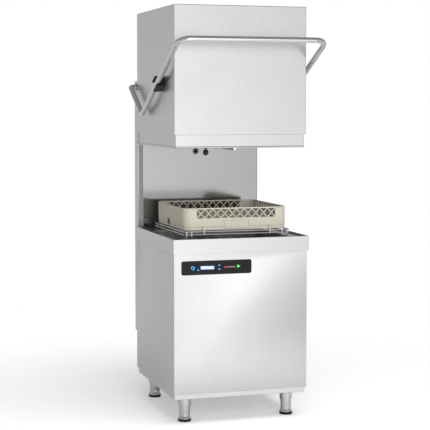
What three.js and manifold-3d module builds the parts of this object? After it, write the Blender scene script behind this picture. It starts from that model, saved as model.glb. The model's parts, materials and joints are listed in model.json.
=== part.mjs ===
// A hood-type commercial dishwasher, drawn with its hood raised.
// Millimetres, X across the width, Y from front to back, Z up.
// Every depth is counted from the front of the cabinet, and every height from the floor.
import * as THREE from "three";
import { mergeVertices } from "three/addons/utils/BufferGeometryUtils.js";
import Module from "manifold-3d";

const wasm = await Module();
wasm.setup();

// ---------- driving dimensions ----------
const SHEET = 1.5;
const GAP = 0.3;

const CABINET_HALF_WIDTH = 320;
const CABINET_DEPTH = 700;
const TRAY_BOTTOM = 113.5;
const TRAY_TOP = 139;
const PANEL_TOP = 783;
const RIM_TOP = 850;
const RIM_HALF_WIDTH = 326;
const RIM_OVERHANG = 10;
const LEDGE_HEIGHT = 840;

const BASIN_HALF_WIDTH = 272;
const BASIN_FRONT = 60;
const BASIN_BACK = 590;
const BASIN_FLOOR = 560;
const SUMP = [130, 200];
const SUMP_RADIUS = 75;
const CENTRE = [0, 325];

const HOOD_HALF_WIDTH = 316;
const HOOD_FRONT = 8;
const HOOD_BACK = 698;
const HOOD_BOTTOM = 1320;
const HOOD_TOP = 1906;
const HOOD_TRAVEL = 410;
const BAND_BOTTOM = 1260;
const BAND_INSET = 7;
const HEM_RADIUS = 4;

const COLUMN_FRONT = 702;
const COLUMN_BACK = 754;
const COLUMN_INNER = 256;
const COLUMN_BOTTOM = 322;
const COLUMN_TOP = 1575;
const CHANNEL = [275, 297];
const SPLASH_FRONT = 655;
const SPLASH_HALF_WIDTH = 302;
const SPLASH_TOP = 1265;

const HANDLE_RADIUS = 12.5;
const HANDLE_X = 344;
const HANDLE_BAR = [-179, 1744];
const HANDLE_ELBOW = [488, 1410];
const HANDLE_PIVOT = [720, 1545];
const SHOE_CENTRE = 206;

const DUCT_HEIGHT = 1300;
const DUCT_RADIUS = 14;
const RISER_DEPTH = 677;
const KNOB_DEPTH = 566;
const WASH_ARM_REACH = 218;
const RINSE_ARM_REACH = 225;
const NOZZLES = [-192, -142, -92, 92, 142, 192];
const PUMP_HEIGHT = 330;
const BOILER = [205, 550];

const RACK_HALF = 250;
const RACK_BOTTOM = 881;
const RACK_TOP = 983;
const WIRE_RADIUS = 3;
const GUIDE_HALF_WIDTH = 255;
const GUIDE_FRONT = 62;
const GUIDE_BACK = 590;

const FOOT_X = 248.6;
const FOOT_FRONT = 83;
const FOOT_BACK = 625;

const GLASS_LEFT = -286;
const GLASS_RIGHT = 48;
const GLASS_BOTTOM = 686;
const GLASS_TOP = 750;
const GLASS_FACE = -2.3;
const KEYS = [
  ["power_key", -232, 718, 11],
  ["up_key", -107, 728, 7.5],
  ["down_key", -107, 709, 7.5],
  ["start_key", -14.5, 720, 11],
];

const TRAY_FLOOR = TRAY_BOTTOM + SHEET + GAP;
const HANDLE_FRONT = HANDLE_BAR[0] - HANDLE_RADIUS;
const CENTRE_DEPTH = (HANDLE_FRONT + COLUMN_BACK) / 2;

// ---------- finishes ----------
const FINISHES = {
  brushed_steel: [0xc9cbcc, 0.36, 1],
  polished_steel: [0xd6d8d9, 0.14, 1],
  galvanised_steel: [0xb4b8ba, 0.5, 1],
  black_glass: [0x0b0c0e, 0.08, 0],
  black_plastic: [0x17181a, 0.5, 0],
  grey_plastic: [0x5b6066, 0.5, 0],
  knob_plastic: [0x2f3b4a, 0.45, 0],
  rack_plastic: [0xc6bda6, 0.6, 0],
  hose_rubber: [0x222222, 0.8, 0],
  motor_paint: [0x3c4146, 0.5, 0.2],
  circuit_board: [0x1f5f3a, 0.5, 0],
};

const machine = new THREE.Group();
machine.position.y = -CENTRE_DEPTH;

function add(name, finish, body, parent = machine) {
  const [color, roughness, metalness] = FINISHES[finish];
  const skin = new THREE.MeshStandardMaterial({ color, roughness, metalness, name: finish });
  const mesh = new THREE.Mesh(body instanceof wasm.Manifold ? surface(body) : body, skin);
  mesh.name = name;
  parent.add(mesh);
  return mesh;
}

// ---------- solids ----------
function solid(geometry) {
  geometry.deleteAttribute("normal");
  geometry.deleteAttribute("uv");
  const merged = mergeVertices(geometry, 1e-3);
  const index = merged.index.array;
  const corners = [];
  for (let i = 0; i < index.length; i += 3) {
    const [a, b, c] = index.slice(i, i + 3);
    if (a !== b && b !== c && c !== a) corners.push(a, b, c);
  }
  const vertProperties = merged.attributes.position.array;
  const wound = (triVerts) => new wasm.Manifold(new wasm.Mesh({ numProp: 3, vertProperties, triVerts }));
  const body = wound(new Uint32Array(corners));
  return body.volume() > 0 ? body : wound(new Uint32Array(corners.reverse()));
}

function surface(manifold) {
  const { vertProperties, triVerts } = manifold.getMesh();
  const geometry = new THREE.BufferGeometry();
  geometry.setAttribute("position", new THREE.BufferAttribute(vertProperties, 3));
  geometry.setIndex(new THREE.BufferAttribute(triVerts, 1));
  geometry.computeVertexNormals();
  return geometry;
}

function join(...pieces) {
  return pieces.reduce((whole, piece) => whole.add(piece));
}

function block([x0, x1], [y0, y1], [z0, z1]) {
  const box = new THREE.BoxGeometry(x1 - x0, y1 - y0, z1 - z0);
  box.translate((x0 + x1) / 2, (y0 + y1) / 2, (z0 + z1) / 2);
  return solid(box);
}

// A rectangular wall of the given thickness, open at top and bottom.
function frameWall([x0, x1], [y0, y1], z, wall) {
  const hollow = block([x0 + wall, x1 - wall], [y0 + wall, y1 - wall], [z[0] - 1, z[1] + 1]);
  return block([x0, x1], [y0, y1], z).subtract(hollow);
}

const TURN = {
  x: new THREE.Matrix4().makeBasis(unit(0, 1, 0), unit(0, 0, 1), unit(1, 0, 0)),
  y: new THREE.Matrix4().makeBasis(unit(0, 0, 1), unit(1, 0, 0), unit(0, 1, 0)),
  z: new THREE.Matrix4(),
};

function unit(x, y, z) {
  return new THREE.Vector3(x, y, z);
}

// An outline pushed along one axis. The outline's pairs are (y, z), (z, x) or (x, y).
function prism(outline, axis, from, to) {
  const shape = new THREE.Shape(outline.map(([a, b]) => new THREE.Vector2(a, b)));
  const body = new THREE.ExtrudeGeometry(shape, { depth: to - from, bevelEnabled: false });
  body.translate(0, 0, from);
  body.applyMatrix4(TURN[axis]);
  return solid(body);
}

// A profile of [radius, height along the axis] pairs, turned about an axis through a point.
// A profile that starts off the axis is closed on itself.
function turned(profile, axis, [x, y, z], sides = 24) {
  const loop = profile[0][0] > 0 ? [...profile, profile[0]] : profile;
  const body = new THREE.LatheGeometry(loop.map(([r, h]) => new THREE.Vector2(r, h)), sides);
  body.rotateX(Math.PI / 2);
  body.applyMatrix4(TURN[axis]);
  body.translate(x, y, z);
  return solid(body);
}

function disc(radius, axis, from, to, centre, sides = 24) {
  const at = { x: [0, ...centre], y: [centre[0], 0, centre[1]], z: [...centre, 0] }[axis];
  return turned([[0, from], [radius, from], [radius, to], [0, to]], axis, at, sides);
}

function arc(centre, radius, from, to, steps) {
  const points = [];
  for (let i = 0; i <= steps; i++) {
    const angle = from + ((to - from) * i) / steps;
    points.push([centre[0] + radius * Math.cos(angle), centre[1] + radius * Math.sin(angle)]);
  }
  return points;
}

function roundedRectangle([a0, a1], [b0, b1], radius, steps = 5) {
  const quarter = Math.PI / 2;
  return [
    ...arc([a1 - radius, b0 + radius], radius, -quarter, 0, steps),
    ...arc([a1 - radius, b1 - radius], radius, 0, quarter, steps),
    ...arc([a0 + radius, b1 - radius], radius, quarter, 2 * quarter, steps),
    ...arc([a0 + radius, b0 + radius], radius, 2 * quarter, 3 * quarter, steps),
  ];
}

// A path through fixed stations, so that straight stretches need only their two ends.
class Stations extends THREE.Curve {
  constructor(points) {
    super();
    this.points = points;
  }

  at(u) {
    return Math.round(u * (this.points.length - 1));
  }

  getPointAt(u) {
    return this.points[this.at(u)].clone();
  }

  getTangentAt(u) {
    const i = this.at(u);
    const before = this.points[Math.max(i - 1, 0)];
    const after = this.points[Math.min(i + 1, this.points.length - 1)];
    return after.clone().sub(before).normalize();
  }
}

// Corner points rounded to the radii given with them; each corner is [x, y, z, radius].
function rounded(corners, steps) {
  const route = [unit(...corners[0].slice(0, 3))];
  for (let i = 1; i < corners.length - 1; i++) {
    const [before, here, after] = corners.slice(i - 1, i + 2).map((c) => unit(...c.slice(0, 3)));
    const back = before.sub(here).normalize();
    const on = after.sub(here).normalize();
    const half = back.angleTo(on) / 2;
    const reach = corners[i][3] / Math.tan(half);
    const middle = back.clone().add(on).normalize();
    const centre = middle.clone().multiplyScalar(corners[i][3] / Math.sin(half));
    const start = back.clone().multiplyScalar(reach).sub(centre);
    const axis = start.clone().cross(on.clone().multiplyScalar(reach).sub(centre)).normalize();
    for (let k = 0; k <= steps; k++) {
      const spoke = start.clone().applyAxisAngle(axis, ((Math.PI - 2 * half) * k) / steps);
      route.push(here.clone().add(centre).add(spoke));
    }
  }
  route.push(unit(...corners.at(-1).slice(0, 3)));
  return route;
}

function circle(radius, sides) {
  const corners = arc([0, 0], radius, 0, 2 * Math.PI, sides).slice(0, sides);
  return corners.map(([a, b]) => new THREE.Vector2(a, b));
}

// A round bar along a route, or a pipe if a wall thickness is given.
function tube(route, radius, sides, wall = 0) {
  const ring = new THREE.Shape(circle(radius, sides));
  if (wall > 0) ring.holes.push(new THREE.Path(circle(radius - wall, sides)));
  const extrudePath = new Stations(route);
  const body = new THREE.ExtrudeGeometry(ring, { steps: route.length - 1, extrudePath });
  return solid(body);
}

function rod(from, to, radius = WIRE_RADIUS, sides = 8) {
  return tube([unit(...from), unit(...to)], radius, sides);
}

function mirrored(piece) {
  return piece.mirror([1, 0, 0]);
}

// ---------- base, legs and casing ----------
function baseTray() {
  const width = [-CABINET_HALF_WIDTH + 5, CABINET_HALF_WIDTH - 5];
  const depth = [13, CABINET_DEPTH - 8];
  const inside = block(
    [width[0] + SHEET, width[1] - SHEET],
    [depth[0] + SHEET, depth[1] - SHEET],
    [TRAY_BOTTOM + SHEET, TRAY_TOP + 1],
  );
  add("base_tray", "brushed_steel", block(width, depth, [TRAY_BOTTOM, TRAY_TOP]).subtract(inside));
}

function legs() {
  const sleeve = [
    [0, 110], [25.2, 110], [25.2, 72], [29, 72], [29, 109], [36, 110],
    [36, TRAY_BOTTOM - GAP], [0, TRAY_BOTTOM - GAP],
  ];
  const foot = [
    [0, 0], [28, 0], [30, 3], [30.5, 9], [30, 14], [25.5, 26], [24.8, 34], [24.8, 104], [0, 104],
  ];
  for (const [end, depth] of [["front", FOOT_FRONT], ["rear", FOOT_BACK]]) {
    for (const [side, x] of [["left", -FOOT_X], ["right", FOOT_X]]) {
      add(`leg_sleeve_${end}_${side}`, "brushed_steel", turned(sleeve, "z", [x, depth, 0]));
      add(`foot_${end}_${side}`, "brushed_steel", turned(foot, "z", [x, depth, 0]));
    }
  }
}

function sidePanel() {
  const outer = CABINET_HALF_WIDTH;
  const z = [TRAY_TOP + GAP, PANEL_TOP];
  const y = [2, CABINET_DEPTH - 2];
  const skin = block([outer - SHEET, outer], y, z);
  const topFold = block([outer - 14, outer], y, [z[1] - SHEET, z[1]]);
  const bottomFold = block([outer - 14, outer], y, [z[0], z[0] + SHEET]);
  return join(skin, topFold, bottomFold);
}

function frontPanel() {
  const z = [TRAY_TOP + GAP, PANEL_TOP];
  const width = CABINET_HALF_WIDTH;
  const skin = block([-width, width], [0, SHEET], z);
  const fold = block([width - 4, width - 2.5], [0, 14], [z[0] + 3, z[1] - 3]);
  const window = block([GLASS_LEFT + 10, GLASS_RIGHT - 10], [-5, 5], [GLASS_BOTTOM + 9, GLASS_TOP - 9]);
  return join(skin, fold, mirrored(fold)).subtract(window);
}

function rearPanel() {
  const z = [TRAY_TOP + GAP, PANEL_TOP];
  const skin = block([-CABINET_HALF_WIDTH, CABINET_HALF_WIDTH], [CABINET_DEPTH - SHEET, CABINET_DEPTH], z);
  const ports = [[-250, 260, 11], [-180, 260, 14], [120, 200, 19]];
  return ports.reduce((panel, [x, height, radius]) => {
    const hole = disc(radius, "y", CABINET_DEPTH - 5, CABINET_DEPTH + 5, [x, height]);
    return panel.subtract(hole);
  }, skin);
}

function casing() {
  baseTray();
  legs();
  add("right_side_panel", "brushed_steel", sidePanel());
  add("left_side_panel", "brushed_steel", mirrored(sidePanel()));
  add("front_panel", "brushed_steel", frontPanel());
  add("rear_panel", "brushed_steel", rearPanel());
}

// ---------- wash tank ----------
function tank() {
  const width = [-RIM_HALF_WIDTH, RIM_HALF_WIDTH];
  const depth = [-RIM_OVERHANG, CABINET_DEPTH];
  const skirtBottom = PANEL_TOP + GAP;
  const skirt = frameWall(width, depth, [skirtBottom, RIM_TOP], SHEET);
  const fold = frameWall(width, depth, [skirtBottom, skirtBottom + SHEET], 22);
  const ledge = block(
    [width[0] + 1, width[1] - 1],
    [depth[0] + 1, depth[1] - 1],
    [LEDGE_HEIGHT - SHEET, LEDGE_HEIGHT],
  );
  const outside = block(
    [-BASIN_HALF_WIDTH - SHEET, BASIN_HALF_WIDTH + SHEET],
    [BASIN_FRONT - SHEET, BASIN_BACK + SHEET],
    [BASIN_FLOOR, LEDGE_HEIGHT],
  );
  const inside = block(
    [-BASIN_HALF_WIDTH, BASIN_HALF_WIDTH],
    [BASIN_FRONT, BASIN_BACK],
    [BASIN_FLOOR + SHEET, LEDGE_HEIGHT + 1],
  );
  const sumpOutside = disc(SUMP_RADIUS + SHEET, "z", BASIN_FLOOR - 40, BASIN_FLOOR + SHEET, SUMP);
  const sumpInside = disc(SUMP_RADIUS, "z", BASIN_FLOOR - 38.5, BASIN_FLOOR + 5, SUMP);
  const drain = disc(14, "z", BASIN_FLOOR - 50, BASIN_FLOOR, [SUMP[0] - 40, SUMP[1]]);
  const postHole = disc(18.5, "z", BASIN_FLOOR - 5, BASIN_FLOOR + 5, CENTRE);
  const riserHole = disc(DUCT_RADIUS + 1, "z", PANEL_TOP, LEDGE_HEIGHT + 5, [0, RISER_DEPTH]);
  const body = join(skirt, fold, ledge, outside, sumpOutside);
  return [inside, sumpInside, drain, postHole, riserHole].reduce((b, cut) => b.subtract(cut), body);
}

function strainer() {
  const z = [735, 736.5];
  const plate = block(
    [-BASIN_HALF_WIDTH + 2, BASIN_HALF_WIDTH - 2],
    [BASIN_FRONT + 2, BASIN_BACK - 2],
    z,
  );
  const postHole = disc(24, "z", z[0] - 5, z[1] + 5, CENTRE);
  const filterHole = disc(58, "z", z[0] - 5, z[1] + 5, SUMP);
  return plate.subtract(postHole).subtract(filterHole);
}

function filterBasket() {
  const wall = [
    [0, 600], [52, 600], [56, 737], [66, 737], [66, 739], [54, 739], [50.5, 602], [0, 602],
  ];
  const basket = turned(wall, "z", [...SUMP, 0]);
  return basket.subtract(disc(24, "z", 590, 610, SUMP));
}

function tankHeater() {
  const height = 590;
  const route = rounded(
    [[-120, 66, height], [-120, 520, height, 40], [-220, 520, height, 40], [-220, 66, height]],
    6,
  );
  const flange = block([-245, -95], [BASIN_FRONT + GAP, BASIN_FRONT + 6], [570, 612]);
  return join(tube(route, 5, 10), flange);
}

function washTank() {
  add("wash_tank", "brushed_steel", tank());
  add("tank_strainer", "brushed_steel", strainer());
  add("filter_basket", "brushed_steel", filterBasket());
  const pipe = [[0, 524], [20, 524], [20, 812], [14, 820], [14, 835], [0, 835]];
  add("overflow_pipe", "black_plastic", turned(pipe, "z", [...SUMP, 0], 20));
  add("tank_heater", "brushed_steel", tankHeater());
}

// ---------- water circuit ----------
function pumpHousing() {
  const [, y] = CENTRE;
  const shell = [
    [20, 28], [20, 50], [30, 50], [30, 30], [66, 28], [70, 20], [70, -20], [66, -28],
    [14, -28], [14, -22], [60, -22], [62, -18], [62, 18], [60, 22], [20, 24],
  ];
  const volute = turned(shell, "x", [0, y, PUMP_HEIGHT]);
  const outlet = disc(18, "z", PUMP_HEIGHT + 64, PUMP_HEIGHT + 100, CENTRE);
  const bore = disc(13, "z", PUMP_HEIGHT + 50, PUMP_HEIGHT + 110, CENTRE);
  return volute.add(outlet).subtract(bore);
}

function impeller() {
  const centre = [0, CENTRE[1], PUMP_HEIGHT];
  const plate = turned([[0, -18], [52, -18], [52, -12], [10, -12], [10, 16], [0, 16]], "x", centre);
  let wheel = plate.add(disc(8, "x", -60, -17, [CENTRE[1], PUMP_HEIGHT]));
  for (let i = 0; i < 6; i++) {
    const blade = block([-13, 14], [8, 50], [-2, 2]);
    const turnedBlade = blade.rotate([i * 60, 0, 0]).translate(centre);
    wheel = wheel.add(turnedBlade);
  }
  return wheel;
}

function pumpMotor() {
  const y = CENTRE[1];
  const profile = [
    [0, -222], [54, -222], [64, -210], [64, -64], [60, -60], [60, -28.5],
    [8.5, -28.5], [8.5, -66], [0, -66],
  ];
  const body = turned(profile, "x", [0, y, PUMP_HEIGHT]);
  const box = block([-170, -90], [y - 35, y + 35], [PUMP_HEIGHT + 55, PUMP_HEIGHT + 95]);
  const stand = frameWall([-200, -60], [y - 50, y + 50], [TRAY_FLOOR, PUMP_HEIGHT - 52], 3);
  return join(body, box, stand);
}

function waterCircuit() {
  const [x, y] = CENTRE;
  add("wash_pump_housing", "grey_plastic", pumpHousing());
  add("pump_impeller", "grey_plastic", impeller());
  add("pump_motor", "motor_paint", pumpMotor());
  const post = join(
    disc(18, "z", PUMP_HEIGHT + 100 + GAP, 768, CENTRE),
    disc(34, "z", BASIN_FLOOR + SHEET + GAP, BASIN_FLOOR + 9, CENTRE),
    disc(9, "z", 760, 822, CENTRE),
  );
  const postBore = disc(16, "z", PUMP_HEIGHT + 90, 755, CENTRE);
  add("lower_arm_post", "brushed_steel", post.subtract(postBore));
  const riser = rounded(
    [
      [x, y + 18.5, 500],
      [x, RISER_DEPTH, 500, 40],
      [x, RISER_DEPTH, DUCT_HEIGHT, 22],
      [x, y, DUCT_HEIGHT],
    ],
    5,
  );
  const spigot = disc(16, "z", 1284, DUCT_HEIGHT + DUCT_RADIUS, CENTRE);
  const spindle = disc(8, "z", 1246, 1290, CENTRE);
  add("riser_duct", "brushed_steel", join(tube(riser, DUCT_RADIUS, 16, SHEET), spigot, spindle));
  const suction = rounded(
    [
      [SUMP[0] - 40, SUMP[1], BASIN_FLOOR - 40 - GAP],
      [SUMP[0] - 40, SUMP[1], PUMP_HEIGHT, 60],
      [SUMP[0] - 40, y, PUMP_HEIGHT, 30],
      [50 + GAP, y, PUMP_HEIGHT],
    ],
    5,
  );
  add("suction_hose", "hose_rubber", tube(suction, 18, 12));
  const knobTop = DUCT_HEIGHT - DUCT_RADIUS - 0.4;
  const knob = [
    [0, 1206], [10, 1206], [15, 1212], [15, 1230], [11, 1236], [6, 1238], [6, knobTop], [0, knobTop],
  ];
  add("retaining_knob", "knob_plastic", turned(knob, "z", [x, KNOB_DEPTH, 0]));
}

// ---------- spray arms ----------
function washArm(z, up) {
  const [x, y] = CENTRE;
  const outline = roundedRectangle([x - WASH_ARM_REACH, x + WASH_ARM_REACH], [y - 19, y + 19], 18, 6);
  let arm = prism(outline, "z", z, z + 13).add(disc(30, "z", z - 3, z + 16, CENTRE));
  const face = up ? [z + 12, z + 15] : [z - 2, z + 1];
  for (const at of NOZZLES) {
    arm = arm.add(block([x + at - 12, x + at + 12], [y - 3, y + 3], face));
  }
  return arm;
}

function rinseArm(z) {
  const [x, y] = CENTRE;
  const bar = rod([x, y - RINSE_ARM_REACH, z], [x, y + RINSE_ARM_REACH, z], 7, 10);
  return bar.add(disc(20, "z", z - 9, z + 9, CENTRE));
}

function sprayArms() {
  const lowerBore = disc(10, "z", 700, 900, CENTRE);
  const lowerSeat = disc(18.6, "z", 700, 772, CENTRE);
  add("lower_wash_arm", "brushed_steel", washArm(775, true).subtract(lowerBore).subtract(lowerSeat));
  add("lower_rinse_arm", "brushed_steel", rinseArm(808).subtract(lowerBore));
  const upperBore = disc(9, "z", 1200, 1300, CENTRE);
  add("upper_wash_arm", "brushed_steel", washArm(1267, false).subtract(upperBore));
  add("upper_rinse_arm", "brushed_steel", rinseArm(1254).subtract(upperBore));
}

// ---------- services below the tank ----------
// An upright pressed tank with a neck at the top for its heating element, on a folded stand.
function boiler() {
  const low = TRAY_FLOOR + 20;
  const wall = [
    [0, low], [60, low], [84, low + 14], [84, 440], [60, 456], [26, 456], [26, 476], [20, 476],
    [20, 454], [59, 454], [82, 439], [82, low + 15], [59.5, low + 2], [0, low + 2],
  ];
  const [x, y] = BOILER;
  const stand = frameWall([x - 60, x + 60], [y - 60, y + 60], [TRAY_FLOOR, low + 2], 3);
  return join(turned(wall, "z", [x, y, 0]), stand);
}

// A dosing pump: a square case with the round head of its squeezed hose in front.
function dosingPump(z) {
  return block([206, 286], [30, 86], [z, z + 84]).add(disc(34, "y", 18, 31, [246, z + 42]));
}

function services() {
  add("rinse_boiler", "galvanised_steel", boiler());
  add("electrical_box", "grey_plastic", block([-296, -130], [22, 92], [300, 560]));
  add("detergent_pump", "grey_plastic", dosingPump(300));
  add("rinse_aid_pump", "grey_plastic", dosingPump(420));
  const solenoid = disc(18, "z", 280, 330, [-180, 660], 16);
  add("inlet_valve", "grey_plastic", block([-206, -154], [630, 690], [236, 284]).add(solenoid));
  const inlet = [[0, 690.5], [12, 690.5], [12, 712], [17, 712], [17, 736], [0, 736]];
  add("water_inlet", "brushed_steel", turned(inlet, "y", [-180, 0, 260]));
  const gland = [[0, 690], [9, 690], [9, 701], [15, 701], [15, 712], [10, 724], [0, 724]];
  add("cable_gland", "black_plastic", turned(gland, "y", [-250, 0, 260]));
  const outlet = [[0, 660], [18, 660], [18, 702], [20, 702], [20, 740], [0, 740]];
  add("drain_outlet", "grey_plastic", turned(outlet, "y", [120, 0, 200]));
}

// ---------- controls ----------
function controls() {
  const outline = roundedRectangle([GLASS_BOTTOM, GLASS_TOP], [GLASS_LEFT, GLASS_RIGHT], 9);
  const sheet = prism(outline, "y", GLASS_FACE, -GAP);
  const glass = KEYS.reduce((g, [, x, z, r]) => g.subtract(disc(r + 0.4, "y", -9, 9, [x, z])), sheet);
  add("control_glass", "black_glass", glass);
  for (const [name, x, z, radius] of KEYS) {
    const cap = disc(radius, "y", GLASS_FACE, 6, [x, z]);
    add(name, "black_glass", cap);
  }
  add("control_board", "circuit_board", block([GLASS_LEFT + 12, GLASS_RIGHT - 12], [12, 14], [697, 739]));
}

// ---------- columns behind the hood ----------
function column() {
  const outside = block(
    [COLUMN_INNER, HOOD_HALF_WIDTH],
    [COLUMN_FRONT, COLUMN_BACK],
    [COLUMN_BOTTOM, COLUMN_TOP],
  );
  const inside = block(
    [COLUMN_INNER + SHEET, HOOD_HALF_WIDTH - SHEET],
    [COLUMN_FRONT + SHEET, COLUMN_BACK - SHEET],
    [COLUMN_BOTTOM - 1, COLUMN_TOP - SHEET],
  );
  const slot = block(CHANNEL, [COLUMN_FRONT - 1, COLUMN_FRONT + 3], [RIM_TOP + 10, 1480]);
  return outside.subtract(inside).subtract(slot);
}

function columnCover() {
  const x = [-COLUMN_INNER + GAP, COLUMN_INNER - GAP];
  const back = block(x, [COLUMN_BACK - SHEET, COLUMN_BACK], [COLUMN_BOTTOM, COLUMN_TOP]);
  const top = block(x, [COLUMN_FRONT, COLUMN_BACK], [COLUMN_TOP - SHEET, COLUMN_TOP]);
  const bottom = block(x, [COLUMN_FRONT, COLUMN_BACK], [COLUMN_BOTTOM, COLUMN_BOTTOM + SHEET]);
  const lip = block(x, [COLUMN_FRONT, COLUMN_FRONT + SHEET], [COLUMN_TOP - 60, COLUMN_TOP]);
  return join(back, top, bottom, lip);
}

function splashBack() {
  const z = [LEDGE_HEIGHT + GAP, SPLASH_TOP];
  const width = [-SPLASH_HALF_WIDTH, SPLASH_HALF_WIDTH];
  const depth = [SPLASH_FRONT, HOOD_BACK - 1.5];
  const outside = block(width, depth, z);
  const inside = block(
    [width[0] + SHEET, width[1] - SHEET],
    [depth[0] + SHEET, depth[1] + 5],
    [z[0] - 5, z[1] - SHEET],
  );
  return outside.subtract(inside).subtract(disc(DUCT_RADIUS + 1, "z", 1250, 1280, [0, RISER_DEPTH]));
}

function rearStructure() {
  add("right_column", "brushed_steel", column());
  add("left_column", "brushed_steel", mirrored(column()));
  add("column_cover", "brushed_steel", columnCover());
  add("splash_back", "polished_steel", splashBack());
  const bush = [[HANDLE_RADIUS + 0.4, 0], [17, 0], [17, 7], [HANDLE_RADIUS + 0.4, 7]];
  const spring = [[9, 1402], [13, 1402], [13, 1570], [9, 1570]];
  for (const [side, sign] of [["right", 1], ["left", -1]]) {
    const ring = turned(bush, "x", [HOOD_HALF_WIDTH + GAP, ...HANDLE_PIVOT], 20);
    add(`handle_bush_${side}`, "brushed_steel", sign > 0 ? ring : mirrored(ring));
    add(`lift_spring_${side}`, "galvanised_steel", turned(spring, "z", [sign * 286, 728, 0], 14));
  }
}

// ---------- hood ----------
function hoodShell() {
  const x = [-HOOD_HALF_WIDTH, HOOD_HALF_WIDTH];
  const z = [HOOD_BOTTOM, HOOD_TOP];
  const outside = block(x, [HOOD_FRONT, HOOD_BACK], z);
  const inside = block(
    [x[0] + SHEET, x[1] - SHEET],
    [HOOD_FRONT + SHEET, HOOD_BACK + 5],
    [z[0] - 5, z[1] - SHEET],
  );
  const backBottom = SPLASH_TOP + HOOD_TRAVEL + 13;
  const back = block([x[0] + 1, x[1] - 1], [HOOD_BACK - 10, HOOD_BACK - 8.5], [backBottom, HOOD_TOP - 1]);
  const notchTop = DUCT_HEIGHT + HOOD_TRAVEL + 30;
  const notch = block([-30, 30], [HOOD_BACK - 20, HOOD_BACK], [backBottom - 5, notchTop]);
  const step = BAND_INSET + 6;
  const shelf = block(x, [HOOD_FRONT, HOOD_BACK], [z[0], z[0] + SHEET]);
  const mouth = block([x[0] + step, x[1] - step], [HOOD_FRONT + step, HOOD_BACK + 5], [z[0] - 5, z[0] + 5]);
  return join(outside.subtract(inside), back.subtract(notch), shelf.subtract(mouth));
}

function hoodBand() {
  const half = HOOD_HALF_WIDTH - BAND_INSET;
  const front = HOOD_FRONT + BAND_INSET;
  const z = [BAND_BOTTOM + HEM_RADIUS, HOOD_BOTTOM - GAP];
  const outside = block([-half, half], [front, HOOD_BACK], z);
  const inside = block([-half + SHEET, half - SHEET], [front + SHEET, HOOD_BACK + 5], [z[0] - 5, z[1] + 5]);
  const hemHalf = half - 1;
  const hemFront = front + 1;
  const route = rounded(
    [
      [-hemHalf, HOOD_BACK, z[0]],
      [-hemHalf, hemFront, z[0], 6],
      [hemHalf, hemFront, z[0], 6],
      [hemHalf, HOOD_BACK, z[0]],
    ],
    3,
  );
  return outside.subtract(inside).add(tube(route, HEM_RADIUS, 10));
}

// A welded plate behind each side of the hood carries a slider through the column's slot.
function hoodBracket() {
  const web = 284;
  const z = [1330, 1400];
  const flange = block([web, HOOD_HALF_WIDTH], [HOOD_BACK - 1, HOOD_BACK + 2], z);
  const arm = block([web, web + 3], [HOOD_BACK - 1, COLUMN_FRONT + 3.6], z);
  return join(flange, arm);
}

function hood() {
  const brackets = join(hoodShell(), hoodBracket(), mirrored(hoodBracket()));
  add("hood_shell", "brushed_steel", brackets);
  add("hood_band", "brushed_steel", hoodBand());
  const slider = block([262, 310], [COLUMN_FRONT + 4, COLUMN_BACK - 4], [1290, 1400]);
  add("hood_slider_right", "black_plastic", slider);
  add("hood_slider_left", "black_plastic", mirrored(slider));
}

// ---------- lifting handle ----------
function handle() {
  const end = HOOD_HALF_WIDTH + 1;
  const side = (sign) => [
    [sign * end, ...HANDLE_PIVOT],
    [sign * HANDLE_X, ...HANDLE_PIVOT, 15],
    [sign * HANDLE_X, ...HANDLE_ELBOW, 30],
    [sign * HANDLE_X, ...HANDLE_BAR, 55],
  ];
  const corners = [...side(-1), ...side(1).reverse()];
  return tube(rounded(corners, 6), HANDLE_RADIUS, 16, SHEET);
}

function guideShoe() {
  const reach = [HANDLE_X - HANDLE_RADIUS - 1, HANDLE_X + 11];
  const inner = HOOD_HALF_WIDTH + 1.5;
  const length = [-24, 42];
  const lip = [length[0] + 5, length[1] - 5];
  const back = prism(roundedRectangle(length, [-20, 33], 8, 3), "x", inner, reach[0]);
  const upperLip = block([reach[0] - 1, reach[1]], lip, [27, 33]);
  const lowerLip = block([reach[0] - 1, reach[1]], lip, [-20, -13.5]);
  const stud = disc(9, "x", HOOD_HALF_WIDTH + GAP, inner + 1, [0, 0]);
  return join(back, upperLip, lowerLip, stud);
}

function lifting() {
  add("handle", "polished_steel", handle());
  const run = HANDLE_ELBOW[0] - HANDLE_BAR[0];
  const slope = Math.atan2(HANDLE_BAR[1] - HANDLE_ELBOW[1], run);
  const height = HANDLE_ELBOW[1] + (HANDLE_ELBOW[0] - SHOE_CENTRE) * Math.tan(slope);
  for (const [side, shape] of [["right", guideShoe()], ["left", mirrored(guideShoe())]]) {
    const mesh = add(`guide_shoe_${side}`, "black_plastic", shape);
    mesh.position.set(0, SHOE_CENTRE, height);
    mesh.rotation.x = -slope;
  }
}

// ---------- rack and its guide ----------
function rackGuide() {
  const [left, right] = [-GUIDE_HALF_WIDTH, GUIDE_HALF_WIDTH];
  const pieces = [];
  for (const z of [863, 876]) {
    pieces.push(rod([left, GUIDE_FRONT, z], [right, GUIDE_FRONT, z]));
    pieces.push(rod([left, GUIDE_BACK, z], [right, GUIDE_BACK, z]));
  }
  for (const x of [left, right]) {
    for (const z of [863, 876]) {
      pieces.push(rod([x, GUIDE_FRONT, z], [x, GUIDE_BACK, z]));
    }
  }
  for (const x of [left + 6, left + 34, right - 34, right - 6]) {
    for (const y of [GUIDE_FRONT, GUIDE_BACK]) {
      pieces.push(rod([x, y, LEDGE_HEIGHT + GAP], [x, y, 876]));
    }
  }
  for (const x of [-160, 160]) {
    pieces.push(rod([x, GUIDE_FRONT, 860], [x, GUIDE_FRONT, 898]));
    pieces.push(rod([x, GUIDE_BACK, 860], [x, GUIDE_BACK, 898]));
  }
  return join(...pieces);
}

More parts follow.
